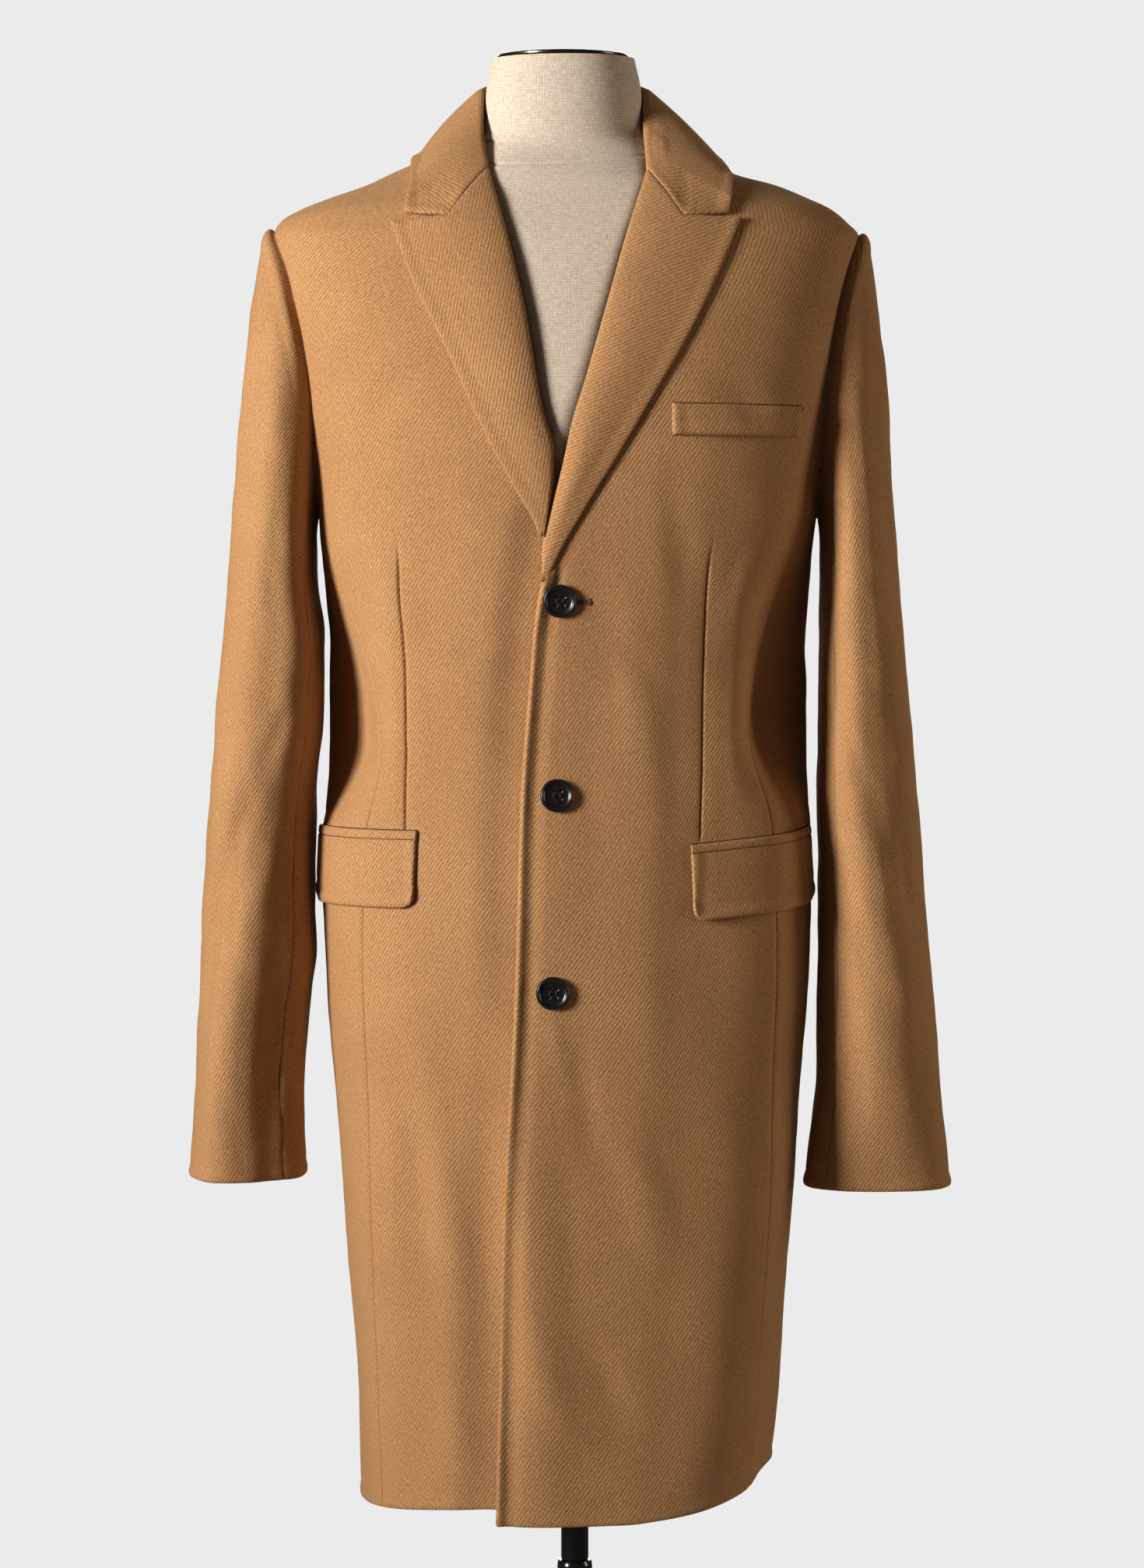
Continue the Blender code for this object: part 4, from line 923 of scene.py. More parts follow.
def rolled(distance: Array, border: Border) -> Array:
    """How far the cloth's face stands out beside a border.

    Args:
        distance: metres from the border.
        border: a seam sinks into its ditch; a free edge is rounded and holds its turnings.

    Returns:
        Metres outwards.
    """
    if border is Border.SEAM:
        sunk = -EDGE_SINK * (1 - np.clip(distance / SEAM_REACH, 0, 1)) ** 2
        return sunk + SEAM_SWELL * bump((distance - 0.0055) / 0.0045)
    if border is Border.FREE:
        sunk = -EDGE_SINK * (1 - np.clip(distance / FREE_REACH, 0, 1)) ** 2
        ridge = TURNING_RISE * bump((distance - 0.0035) / 0.0045)
        return sunk + ridge - STITCH_SINK * bump((distance - 0.0100) / 0.0040)
    return np.zeros_like(distance)


class Borders(NamedTuple):
    """What the four borders of a panel are: bottom, top, first and last column."""

    bottom: Border
    top: Border
    first: Border
    last: Border


HEMMED = Borders(Border.FREE, Border.SEAM, Border.SEAM, Border.SEAM)


def border_relief(grid: Array, borders: Borders) -> tuple[Array, Array]:
    """Relief beside a panel's borders, and where its edge is free.

    Args:
        grid: the panel's points, rows first.
        borders: what its borders are.

    Returns:
        Metres outwards at each point, and the rounding of the free edges.
    """
    down, across = run_along(grid, 0), run_along(grid, 1)
    total = (rolled(down, borders.bottom) + rolled(down[-1:] - down, borders.top)
             + rolled(across, borders.first) + rolled(across[:, -1:] - across, borders.last))
    free = np.zeros(grid.shape[:2])
    for border, place in ((borders.bottom, np.s_[0, :]), (borders.top, np.s_[-1, :]),
                          (borders.first, np.s_[:, 0]), (borders.last, np.s_[:, -1])):
        if border is Border.FREE:
            free[place] = EDGE_ROUND
    return total, free


def pull_in(grid: Array, rows: tuple[bool, bool], columns: tuple[bool, bool]) -> Array:
    """Draws a grid's edges in by half a seam's gap."""
    grid = grid.copy()
    for side, (edge, beside) in zip(columns, ((0, 1), (-1, -2))):
        if side:
            grid[:, edge] += unit(grid[:, beside] - grid[:, edge]) * SEAM_GAP / 2
    for side, (edge, beside) in zip(rows, ((0, 1), (-1, -2))):
        if side:
            grid[edge] += unit(grid[beside] - grid[edge]) * SEAM_GAP / 2
    return grid


# ---------------------------------------------------------------- the coat's surface
@dataclass
class CoatSurface:
    """The coat's outer face, as a distance from the axis at each turn and height."""

    folds: list[Fold] = field(default_factory=lambda: FOLDS)
    creases: list[Crease] = field(default_factory=lambda: CREASES)
    swell: float = 0.00045

    def __post_init__(self) -> None:
        """Makes the curves of the sections, edges and seams."""
        self.left, self.right, self.front, self.back, self.square = (
            Curve.of(BODY, "z", name) for name in Section._fields[1:])
        self.over_x = Curve.of(OVER_EDGE, "z", "x")
        self.under_x = Curve.of(UNDER_EDGE, "z", "x")
        self.front_seam = Curve.of(SIDE_SEAMS, "z", "front")
        self.back_seam = Curve.of(SIDE_SEAMS, "z", "back")
        turns = np.radians(np.arange(-180, 181, 2.0))
        spots = around(self.section(turns, np.ones_like(turns)), turns, 0.0)
        run = run_along(spots[None], 1)[0]
        self.girth_turn = turns
        self.girth_run = run - run[len(run) // 2]

    def girth(self, turn: Array) -> Array:
        """Metres round the coat from the middle of the front."""
        return np.interp(turn, self.girth_turn, self.girth_run)

    def section(self, turn: Array, z: Array) -> Array:
        """Distance from the axis without folds."""
        half = np.where(turn > 0, self.right(z), self.left(z))
        deep = np.where(np.abs(turn) < math.pi / 2, self.front(z), self.back(z))
        return oval(turn, half, deep, self.square(z))

    def radius(self, turn: Array, z: Array) -> Array:
        """Distance from the axis to the outer face."""
        fine = crease_depth(self.creases, turn, z, GIRTH_RADIUS)
        swell = self.swell * ripple(turn * GIRTH_RADIUS, z * 0.6, 0.075, 7)
        swell = swell + 0.25 * self.swell * ripple(turn * GIRTH_RADIUS, z, 0.022, 11)
        fade = ramp((1.400 - z) / 0.05)
        return self.section(turn, z) + fold_depth(self.folds, turn, z) + (fine + swell) * fade

    def face(self, turn: Array, z: Array) -> Array:
        """Points of the outer face."""
        return around(self.radius(turn, z), turn, z)

    def normal(self, turn: Array, z: Array) -> Array:
        """Unit normals of the outer face."""
        tiny_turn, tiny_z = 0.004, 0.0006
        across = self.face(turn + tiny_turn, z) - self.face(turn - tiny_turn, z)
        up = self.face(turn, z + tiny_z) - self.face(turn, z - tiny_z)
        return unit(np.cross(across, up))

    def point(self, turn: Array, z: Array, out: Array = 0.0) -> Array:
        """Points at a distance from the outer face."""
        out = np.asarray(out, float)[..., None]
        return self.face(turn, z) + self.normal(turn, z) * out

    def front_turn(self, x: Array, z: Array) -> Array:
        """Turn of the point of the front that is seen at x and z."""
        half = np.where(x > 0, self.right(z), self.left(z))
        share = np.clip(np.abs(x) / half, 0.0, 0.999)
        depth = self.front(z) * (1 - share ** self.square(z)) ** (1 / self.square(z))
        return np.arctan2(x, depth)

    def lay(self, x: Array, z: Array, out: Array) -> Array:
        """Points on the front that are seen at x and z, at a distance from its face."""
        return self.point(self.front_turn(x, z), z, out)

    def under_step(self, turn: Array, z: Array) -> Array:
        """How far the under front lies below the face, beneath the over front."""
        x = self.radius(turn, z) * np.sin(turn)
        edge = self.over_x(z) - NOSE_ROOM
        return -(WALL + OVERLAP_ROOM) * ramp((x - edge + OVERLAP_RAMP) / OVERLAP_RAMP)


# ---------------------------------------------------------------- body panels
@dataclass
class BodyPanels:
    """The six panels round the body: fronts, side panels and backs."""

    surface: CoatSurface
    wardrobe: Wardrobe
    dart_depth: float = 0.0020
    dart_width: float = 0.0019
    lip_top: float = 1.1475
    lip_widths: tuple[float, float] = (0.0054, 0.0066)
    lip_rises: tuple[float, float] = (0.0016, 0.0030)
    lip_ditch: float = 0.0013
    per_radian: float = 0.12

    def armhole(self, side: Side, psi: Array) -> Array:
        """Turn and height of the armhole's seam; psi is 0 at the shoulder, 90 in front."""
        arm = ARMHOLES[side]
        psi = np.radians(psi)
        cut = np.where(np.sin(psi) > 0, arm.front, arm.back)
        turn = side.value * np.radians(90 - cut * np.sin(psi))
        z = lerp(arm.base_z, arm.tip_z, (1 + np.cos(psi)) / 2)
        return np.stack([turn, z], axis=-1)

    def lower_heights(self) -> Array:
        """Heights of the level rows from the hem up."""
        return lerp(HEM_Z, SPLIT_Z, spacing(SPLIT_Z - HEM_Z, CELL, True, False))

    def side_edge(self, side: Side, seam: Curve, psi: float, climb: Array) -> Array:
        """A side seam from the hem up to the armhole, as turn and height."""
        z = self.lower_heights()
        low = np.stack([side.value * np.radians(seam(z)), z], axis=-1)
        high = lerp(low[-1], self.armhole(side, psi), climb[:, None])
        return np.concatenate([low, high])

    def resample(self, points: Array, count: int) -> Array:
        """Even places along a path of turns and heights."""
        metric = points * np.array([self.per_radian, 1.0])
        run = np.concatenate(([0.0], np.cumsum(np.linalg.norm(np.diff(metric, axis=0), axis=1))))
        at = np.linspace(0, run[-1], count)
        return np.stack([np.interp(at, run, points[:, k]) for k in (0, 1)], axis=-1)

    def up_to_shoulder(self, side: Side, low: Array, high: Array, rows: int) -> Array:
        """Joins a panel's inner edge to the neck seam, up to the shoulder's turn."""
        share = np.linspace(0, 1, 60)[1:, None]
        neck = lerp(high[-1], np.array([side.value * math.pi / 2, BODY[-1].z]), share)
        upper = self.resample(np.concatenate([high, neck]), rows - len(low) + 1)
        return np.concatenate([low, upper[1:]])

    def front_inner(self, side: Side, rows: int) -> Array:
        """Front edge, roll line and neck seam of a front."""
        edge = self.surface.over_x if side is Side.LEFT else self.surface.under_x
        tuck = 0.0008 * side.value
        top = (OVER_EDGE if side is Side.LEFT else UNDER_EDGE)[-1]
        z = self.lower_heights()
        low = np.stack([self.surface.front_turn(edge(z), z), z], axis=-1)
        z = np.linspace(SPLIT_Z, top.z, 200)
        x = edge(z) + tuck * ramp((z - SPLIT_Z) / 0.05)
        roll = np.stack([self.surface.front_turn(x, z), z], axis=-1)
        return self.up_to_shoulder(side, low, roll, rows)

    def with_hem(self, places: Array, side: Side) -> tuple[Array, Array]:
        """Moves the lower rows so that the first one follows the hem."""
        hem = Curve.of(OVER_HEM if side is Side.LEFT else HEM, "turn", "z")
        turn, z = places[..., 0], places[..., 1]
        drop = ramp((SPLIT_Z - z) / (SPLIT_Z - HEM_Z)) * (hem(np.degrees(turn)) - HEM_Z)
        return turn, z + drop

    def dart_shares(self, side: Side, inner: Array, outer: Array) -> Array:
        """Share of each row at which the front's dart lies."""
        dart = Curve.of(DARTS[side], "z", "x")
        share = np.full(len(inner), 0.5)
        for _ in range(4):
            spot = lerp(inner, outer, share[:, None])
            aim = self.surface.front_turn(dart(spot[:, 1]), spot[:, 1])
            reach = outer[:, 0] - inner[:, 0]
            share = np.clip((aim - inner[:, 0]) / reach, 0.25, 0.85)
        smooth = np.convolve(np.pad(share, 12, mode="edge"), np.ones(25) / 25, mode="valid")
        keep = ramp((1.19 - inner[:, 1]) / 0.02)
        return lerp(smooth, share, keep)

    def dart_relief(self, side: Side, grid: Array, column: int) -> Array:
        """The dart's ditch along a column of a front."""
        table = DARTS[side]
        across = run_along(grid, 1)
        away = np.abs(across - across[:, column:column + 1])
        z = grid[:, column, 2][:, None]
        length = ramp((table[-1].z - z) / 0.030) * ramp((z - table[0].z + 0.004) / 0.006)
        ditch = (1 - np.clip(away / self.dart_width, 0, 1)) ** 1.6
        swell = bump((away - 0.010) / 0.010)
        return length * (swell * 0.0004 - ditch * self.dart_depth)

    def lip_relief(self, z: Array, away: Array) -> Array:
        """The pressed lip along the over front's edge, higher towards the lapel."""
        high = ramp((z - 1.095) / 0.052)
        width = lerp(*self.lip_widths, high)
        rise = lerp(*self.lip_rises, high) * ramp((width - away) / 0.0024)
        ditch = self.lip_ditch * bump((away - width - 0.0045) / 0.0070)
        return rise * (0.45 + 0.55 * ramp(away / 0.0020)) - ditch

    def shell(self, name: str, side: Side, places: Array, borders: Borders,
              dart: int | None = None, extra: bool = False) -> bpy.types.Object:
        """Builds one panel as a shell on the coat's surface.

        Args:
            name: the panel's node.
            side: the side that it is on.
            places: grid of turns and heights.
            borders: what its borders are.
            dart: the column along its dart.
            extra: whether it steps down beneath the over front.

        Returns:
            The panel.
        """
        turn, z = self.with_hem(places, side)
        step = self.surface.under_step(turn, z) if extra else 0 * z
        base = self.surface.point(turn, z, step)
        relief, free = border_relief(base, borders)
        if side is Side.LEFT and borders.first is Border.FREE:
            away = run_along(base, 1)
            hold = ramp((self.lip_top - z[:, :1]) / 0.0035)
            relief = relief - rolled(away, Border.FREE) * (1 - hold)
            relief = relief + self.lip_relief(z[:, :1], away) * hold
            free[:, 0] = free[:, 0] * hold[:, 0]
        if dart is not None:
            relief = relief + self.dart_relief(side, base, dart)
        outer = self.surface.point(turn, z, step + relief)
        inner = self.surface.point(turn, z, step - WALL)
        seams = [border is Border.SEAM for border in borders]
        seams[2] = seams[2] or borders.first is Border.FREE
        outer, inner = (pull_in(grid, (False, seams[1]), (seams[2], seams[3]))
                        for grid in (outer, inner))
        cloth = twill_map(self.surface.girth(turn), z)
        return twill_piece(self.wardrobe, name, outer, inner, cloth, free)

    def make_front(self, side: Side) -> bpy.types.Object:
        """A front with its dart, from its edge to the side seam and armhole."""
        climb = spacing(0.1, CELL, False, False)[1:]
        psi = FRONT_PSI * (1 - spacing(0.36, CELL, False, True)[1:])
        outer = np.concatenate([
            self.side_edge(side, self.surface.front_seam, FRONT_PSI, climb),
            self.armhole(side, psi)])
        inner = self.front_inner(side, len(outer))
        share = self.dart_shares(side, inner, outer)
        fine = side is Side.LEFT
        first = spacing(0.135 if fine else 0.120, CELL, fine, True)
        second = spacing(0.090, CELL, True, True)
        shares = np.concatenate([share[:, None] * first,
                                 lerp(share[:, None], 1.0, second[None, 1:])], axis=1)
        places = lerp(inner[:, None, :], outer[:, None, :], shares[..., None])
        first_border = Border.FREE if fine else Border.PLAIN
        borders = Borders(Border.FREE, Border.SEAM, first_border, Border.SEAM)
        return self.shell(f"front_{side.word}", side, places, borders, len(first) - 1, not fine)

    def make_side(self, side: Side) -> bpy.types.Object:
        """A side panel, from the hem up to the underarm."""
        share = spacing(0.170, CELL, True, True)
        psi = lerp(FRONT_PSI, BACK_PSI, share)
        z = self.lower_heights()
        front, back = (np.stack([side.value * np.radians(seam(z)), z], axis=-1)
                       for seam in (self.surface.front_seam, self.surface.back_seam))
        low = lerp(front[:, None, :], back[:, None, :], share[None, :, None])
        climb = spacing(0.1, CELL, False, True)[1:]
        high = lerp(low[-1][None], self.armhole(side, psi)[None], climb[:, None, None])
        return self.shell(f"side_{side.word}", side, np.concatenate([low, high]), HEMMED)

    def make_back(self, side: Side) -> bpy.types.Object:
        """A back, from the centre seam to the side seam and armhole."""
        climb = spacing(0.1, CELL, False, False)[1:]
        psi = lerp(BACK_PSI, 360, spacing(0.30, CELL, False, True)[1:])
        outer = np.concatenate([
            self.side_edge(side, self.surface.back_seam, BACK_PSI, climb),
            self.armhole(side, psi)])
        low, high = (np.stack([np.full(len(z), side.value * math.pi), z], axis=-1) for z in
                     (self.lower_heights(), np.linspace(SPLIT_Z, BODY[-1].z, 200)))
        inner = self.up_to_shoulder(side, low, high, len(outer))
        shares = spacing(0.150, CELL, True, True)
        places = lerp(inner[:, None, :], outer[:, None, :], shares[None, :, None])
        return self.shell(f"back_{side.word}", side, places, HEMMED)

    def build(self) -> dict[str, bpy.types.Object]:
        """Builds all six panels."""
        made = [make(side) for side in Side
                for make in (self.make_front, self.make_side, self.make_back)]
        return {piece.name: piece for piece in made}


# ---------------------------------------------------------------- sleeves
@dataclass
class Sleeves:
    """Two-piece sleeves, each a top and an under half from the armhole to the cuff."""

    surface: CoatSurface
    panels: BodyPanels
    wardrobe: Wardrobe
    square: float = 0.87
    rope: float = 0.0017
    pucker: float = 0.00012
    quarter: float = 0.110
    radius: float = 0.050
    arm_radius: float = 0.115
    join_out: float = 0.00012
    cap_out: tuple[float, float] = (0.018, 0.046)
    cap_rise: tuple[float, float] = (-0.050, 0.065)
    cap_round: float = 0.035

    def rings(self, side: Side, psi: Array, z: Array) -> Array:
        """Points of a sleeve below its cap, at the given heights, top down."""
        table = SLEEVES[side][::-1]
        outer, inner, front, back = (Curve.of(table, "z", name)(z[:, None])
                                     for name in ("outer", "inner", "front", "back"))
        turn = np.radians(psi)[None, :]
        fold = fold_depth(SLEEVE_FOLDS[side], turn, z[:, None])
        round_x = np.sign(np.cos(turn)) * np.abs(np.cos(turn)) ** self.square
        round_y = -np.sign(np.sin(turn)) * np.abs(np.sin(turn)) ** self.square
        x = side.value * ((outer + inner) / 2 + ((outer - inner) / 2 + fold) * round_x)
        y = (front + back) / 2 + ((back - front) / 2 + fold) * round_y
        return np.stack([x, y, z[:, None] + 0 * x], axis=-1)

    def grid(self, side: Side, psi: Array) -> Array:
        """Outer face of a sleeve, from the armhole to the cuff."""
        table = SLEEVES[side]
        length = table[0].z - table[-1].z
        z = lerp(table[0].z, table[-1].z, spacing(length, CELL, False, True))
        arm = self.rings(side, psi, z)
        places = self.panels.armhole(side, psi)
        start = self.surface.point(places[:, 0], places[:, 1])
        start = start + np.array([side.value * self.join_out, 0, 0])
        high = (1 + np.cos(np.radians(psi))) / 2
        leave = np.stack([side.value * lerp(*self.cap_out, high),
                          -self.cap_round * np.sin(np.radians(psi)),
                          lerp(*self.cap_rise, high)], axis=-1)
        reach = np.linalg.norm(arm[0] - start, axis=1)[:, None]
        leave = leave * np.minimum(1.0, reach / 0.12)
        arrive = unit(arm[10] - arm[0]) * reach
        share = spacing(0.20, CELL, True, False)[:-1, None, None]
        return np.concatenate([hermite(start, arm[0], leave, arrive, share), arm])

    def relief(self, side: Side, psi: Array, base: Array) -> Array:
        """Creases, the roped head and the eased puckers along the armhole."""
        turn = np.radians(psi)[None, :] + 0 * base[..., 2]
        down = run_along(base, 0)
        top = ramp((np.cos(turn) + 0.25) / 0.7)
        rope = self.rope * bump((down - 0.010) / 0.011) * top
        waves = ripple(turn * self.arm_radius, 0 * turn, 0.022, 21 + side.value)
        pucker = self.pucker * waves * bump((down - 0.012) / 0.024) * (0.35 + 0.65 * top)
        run, z = turn * self.radius, base[..., 2]
        swell = 0.0005 * ripple(run, z, 0.060, 31 + side.value)
        swell = swell + 0.0002 * ripple(run, z, 0.022, 33 + side.value)
        creases = crease_depth(SLEEVE_CREASES[side], turn, z, self.radius)
        return rope + pucker + swell * ramp(down / 0.03) + creases

    def measure(self, side: Side, psi: Array, base: Array) -> tuple[Array, Array]:
        """Metres across and up the sleeve's cloth, across to the right as seen from outside."""
        level = base * np.array([1.0, 1.0, 0.0])
        across = run_along(level, 1)
        if psi.max() > 300:
            across = across - across[:, [int(np.argmin(np.abs(psi - 360)))]]
        ring = SLEEVES[side][0]
        climb = np.clip((base[..., 2] - ring.z) / (ARMHOLES[side].tip_z - ring.z), 0, 1)
        middle = lerp((ring.outer + ring.inner) / 2, ring.inner - 0.015, climb)
        angle = np.degrees(np.arctan2((ring.front + ring.back) / 2 - base[..., 1],
                                      side.value * base[..., 0] - middle))
        angle = psi + (angle - psi + 180) % 360 - 180
        first = int(np.argmax(np.abs(base[:, 0, 2] - ring.z) < 1e-6))
        known, run = angle[first], across[first]
        known = np.concatenate(([known[0] - 90], known, [known[-1] + 90]))
        run = np.concatenate(([run[0] - self.quarter], run, [run[-1] + self.quarter]))
        across[:first] = np.interp(angle[:first], known, run)
        down = run_along(base, 0)
        top = ((1 + np.cos(np.radians(psi)))[None, :] / 2) ** 3
        up = lerp(base[..., 2], base[-1:, :, 2] + down[-1:] - down, top)
        return -side.value * across * np.sign(psi[-1] - psi[0]), up

    def make_half(self, side: Side, part: str, start: float, end: float) -> bpy.types.Object:
        """Builds a top or an under half between two seams."""
        psi = lerp(start, end, spacing(abs(end - start) / 360 * 0.34, CELL, True, True))
        base = self.grid(side, psi)
        down = run_along(base, 0)
        places = self.panels.armhole(side, psi)
        seam = self.surface.normal(places[:, 0], places[:, 1])
        normal = unit(lerp(grid_normals(base, flip=side.value), seam[None],
                           1 - ramp(down / 0.010)[..., None]))
        borders = Borders(Border.SEAM, Border.FREE, Border.SEAM, Border.SEAM)
        edges, free = border_relief(base, borders)
        relief = self.relief(side, psi, base)
        outer = base + normal * (relief + edges)[..., None]
        inner = base + normal * (relief - WALL)[..., None]
        outer, inner = (pull_in(grid, (False, False), (True, True)) for grid in (outer, inner))
        cloth = twill_map(*self.measure(side, psi, base))
        name = f"sleeve_{part}_{side.word}"
        return twill_piece(self.wardrobe, name, outer, inner, cloth, free)

    def build(self) -> dict[str, bpy.types.Object]:
        """Builds both sleeves."""
        made = {}
        for side in Side:
            for part, start, end in (("under", SLEEVE_FRONT_PSI, SLEEVE_BACK_PSI),
                                     ("top", SLEEVE_BACK_PSI, SLEEVE_FRONT_PSI + 360)):
                piece = self.make_half(side, part, start, end)
                made[piece.name] = piece
        return made


# ---------------------------------------------------------------- lapels and collar
def third_corner(first: Array, second: Array, from_first: float, from_second: float) -> Array:
    """Corner of a flat triangle, clockwise of the side between its first two corners."""
    side = second - first
    length = max(float(np.linalg.norm(side)), 1e-6)
    along = (from_first ** 2 - from_second ** 2 + length ** 2) / (2 * length)
    away = math.sqrt(max(from_first ** 2 - along ** 2, 0.0))
    ahead = side / length
    return first + ahead * along + np.array([ahead[1], -ahead[0]]) * away


def unrolled(grid: Array, column: int, angle: float) -> Array:
    """Lays a bent strip flat, without stretching it.

    Args:
        grid: the strip's points, one row for each step along it.
        column: where the strip's inner track is; its outer one is the last column.
        angle: degrees from level at which the first row lies.

    Returns:
        The flat place of each point, in metres.
    """
    inner, outer = grid[:, column], grid[:, -1]
    reach = np.linalg.norm(outer - inner, axis=-1)
    turned_to = np.array([math.cos(math.radians(angle)), math.sin(math.radians(angle))])
    starts, ends = [np.zeros(2)], [turned_to * reach[0]]
    for k in range(len(grid) - 1):
        start = third_corner(starts[k], ends[k], float(np.linalg.norm(inner[k + 1] - inner[k])),
                             float(np.linalg.norm(inner[k + 1] - outer[k])))
        back = third_corner(start, ends[k], reach[k + 1],
                            float(np.linalg.norm(outer[k + 1] - outer[k])))
        mirror = start + (ends[k] - start) * 2 * np.dot(back - start, ends[k] - start) / max(
            float(np.dot(ends[k] - start, ends[k] - start)), 1e-9) - (back - start)
        starts.append(start)
        ends.append(back if np.dot(back - ends[k], start - starts[k])
                    > np.dot(mirror - ends[k], start - starts[k]) else mirror)
    run = run_along(grid, 1)
    share = (run - run[:, column:column + 1]) / (run[:, -1:] - run[:, column:column + 1])
    starts, ends = np.array(starts)[:, None], np.array(ends)[:, None]
    return lerp(starts, ends, share[..., None])


LAST_STEP = 2 * len(COLLAR)
CORNER_SHARE = 0.42
ACROSS = [0.06, 0.12, 0.20, 0.28, 0.35, CORNER_SHARE, 0.49, 0.56, 0.63, 0.70, 0.77, 0.83, 0.88,
          0.92, 0.95, 0.972, 0.988, 1.0]


@dataclass
class Neckwear:
    """The peak lapels and the collar, turned out over the coat."""

    surface: CoatSurface
    wardrobe: Wardrobe
    puff: float = 0.0030
    bend_from: float = 0.72
    fold_half: float = 0.0020
    fold_drop: float = 0.0009
    bulge: float = 0.0026
    edge_share: float = 0.42
    axis: tuple[float, float] = (-0.006, 0.004)
    first_step: float = 0.35
    lapel_lean: dict[Side, float] = field(
        default_factory=lambda: {Side.RIGHT: 80.0, Side.LEFT: 22.0})
    wrap_z: dict[Side, float] = field(
        default_factory=lambda: {Side.RIGHT: 1.214, Side.LEFT: 1.142})
    collar_lean: float = 152.0
    unroll_angle: float = 205.0
    collar_rows: int = 104

    def turned_row(self, roll: Array, edge: Array, corner: Array, weight: float, puff: float,
                   wrap: float = 1.0) -> tuple[Array, Array]:
        """One row of a lapel as x, height and distance out, on both faces.

        Args:
            roll: where the row leaves the roll line.
            edge: where it meets the free edge.
            corner: where the notch's corner is, at this row.
            weight: how much the row bends through the corner.
            puff: how far it stands off the front.
            wrap: 1 where the roll goes round an edge, 0 where it lies flat.

        Returns:
            Rows of the outer and the inner face.
        """
        along = unit(lerp(edge, corner, weight) - roll)
        outer, inner = [], []
        for full, flat in zip(NOSE, FLAT_NOSE):
            nose = Nose(*[lerp(f, g, wrap) for f, g in zip(flat, full)])
            outer.append((*(roll + along * nose.out_s), nose.out_d))
            inner.append((*(roll + along * nose.in_s), nose.in_d))
        for share in ACROSS:
            if share <= CORNER_SHARE:
                bent = lerp(roll, corner, share / CORNER_SHARE)
            else:
                bent = lerp(corner, edge, (share - CORNER_SHARE) / (1 - CORNER_SHARE))
            spot = lerp(lerp(roll, edge, share), bent, weight)
            rise = puff * dome(share)
            outer.append((*spot, LAY_GAP + LAPEL_WALL + rise))
            inner.append((*spot, LAY_GAP + rise))
        return np.array(outer), np.array(inner)

    def laid(self, rows: Array) -> Array:
        """Points in space of rows of x, height and distance out."""
        return self.surface.lay(rows[..., 0], rows[..., 1], rows[..., 2])

    def finer(self, grid: Array, parts: int) -> Array:
        """A grid with each of its columns' gaps split on smooth curves."""
        return np.swapaxes(smooth_line(np.swapaxes(grid, 0, 1), parts), 0, 1)

    def make_lapel(self, side: Side) -> bpy.types.Object:
        """A lapel from its point at the button up to the gorge seam."""
        left = side is Side.LEFT
        roll = Route(OVER_LAPEL_ROLL if left else UNDER_LAPEL_ROLL)
        edge = Route(OVER_LAPEL_EDGE if left else UNDER_LAPEL_EDGE)
        gorge = OVER_GORGE if left else UNDER_GORGE
        faces = []
        for share in spacing(0.27, CELL, False, True):
            weight = float(ramp((share - self.bend_from) / (1 - self.bend_from))) ** 1.5
            wrap = float(ramp((roll(share)[1] - self.wrap_z[side]) / 0.020))
            puff = self.puff * float(ramp(share / 0.3))
            fallen = (roll(share) - roll(1) + edge(share) - edge(1)) / 2
            corner = np.array([gorge.x, gorge.z]) + fallen
            faces.append(self.turned_row(roll(share), edge(share), corner, weight, puff, wrap))
        raw = [np.array(face) for face in zip(*faces)]
        outer, inner = (self.finer(self.laid(face), 2) for face in raw)
        cloth = self.finer(raw[0], 2)
        outer, free = self.finish_edges(outer, side.value, False)
        outer, inner = (pull_in(grid, (False, True), (False, False)) for grid in (outer, inner))
        flat = twill_map(cloth[..., 0], cloth[..., 1], self.lapel_lean[side])
        return twill_piece(self.wardrobe, f"lapel_{side.word}", outer, inner, flat, free)

    def finish_edges(self, outer: Array, flip: float, both: bool) -> tuple[Array, Array]:
        """Rolls the free edge and the notch, and sinks the gorge seam.

        Args:
            outer: grid of the face that shows.
            flip: sign that turns the grid's normals outwards.
            both: whether the first row meets a gorge too, and not only the last one.

        Returns:
            The grid with its relief, and where its edges are free.
        """
        down, across = run_along(outer, 0), run_along(outer, 1)
        corner = 2 * (3 + ACROSS.index(CORNER_SHARE))
        past = (np.arange(outer.shape[1]) > corner)[None, :]
        ends = [down[-1:] - down, down][:1 + both]
        total = self.edge_share * rolled(across[:, -1:] - across, Border.FREE)
        for end in ends:
            total = total + np.where(past, rolled(end, Border.FREE), rolled(end, Border.SEAM))
        free = np.zeros(outer.shape[:2])
        free[:, -1] = EDGE_ROUND
        for row in (-1, 0)[:1 + both]:
            free[row, corner:] = EDGE_ROUND
        fade = ramp(across / 0.010)
        normal = grid_normals(outer, flip)
        return outer + normal * (total * fade)[..., None], free

    def keep_off(self, points: Array, clear: float) -> Array:
        """Moves points that lie in or on the coat out to a distance from it."""
        turn = np.arctan2(points[..., 0], -points[..., 1])
        z = np.minimum(points[..., 2], BODY[-1].z)
        normal = self.surface.normal(turn, z)
        radial = np.stack([np.sin(turn), -np.cos(turn), 0 * turn], axis=-1)
        reach = np.hypot(points[..., 0], points[..., 1]) - self.surface.radius(turn, z)
        out = reach * np.abs((normal * radial).sum(axis=-1))
        out = out + (points[..., 2] - z) * normal[..., 2]
        return points + normal * np.maximum(clear - out, 0.0)[..., None]

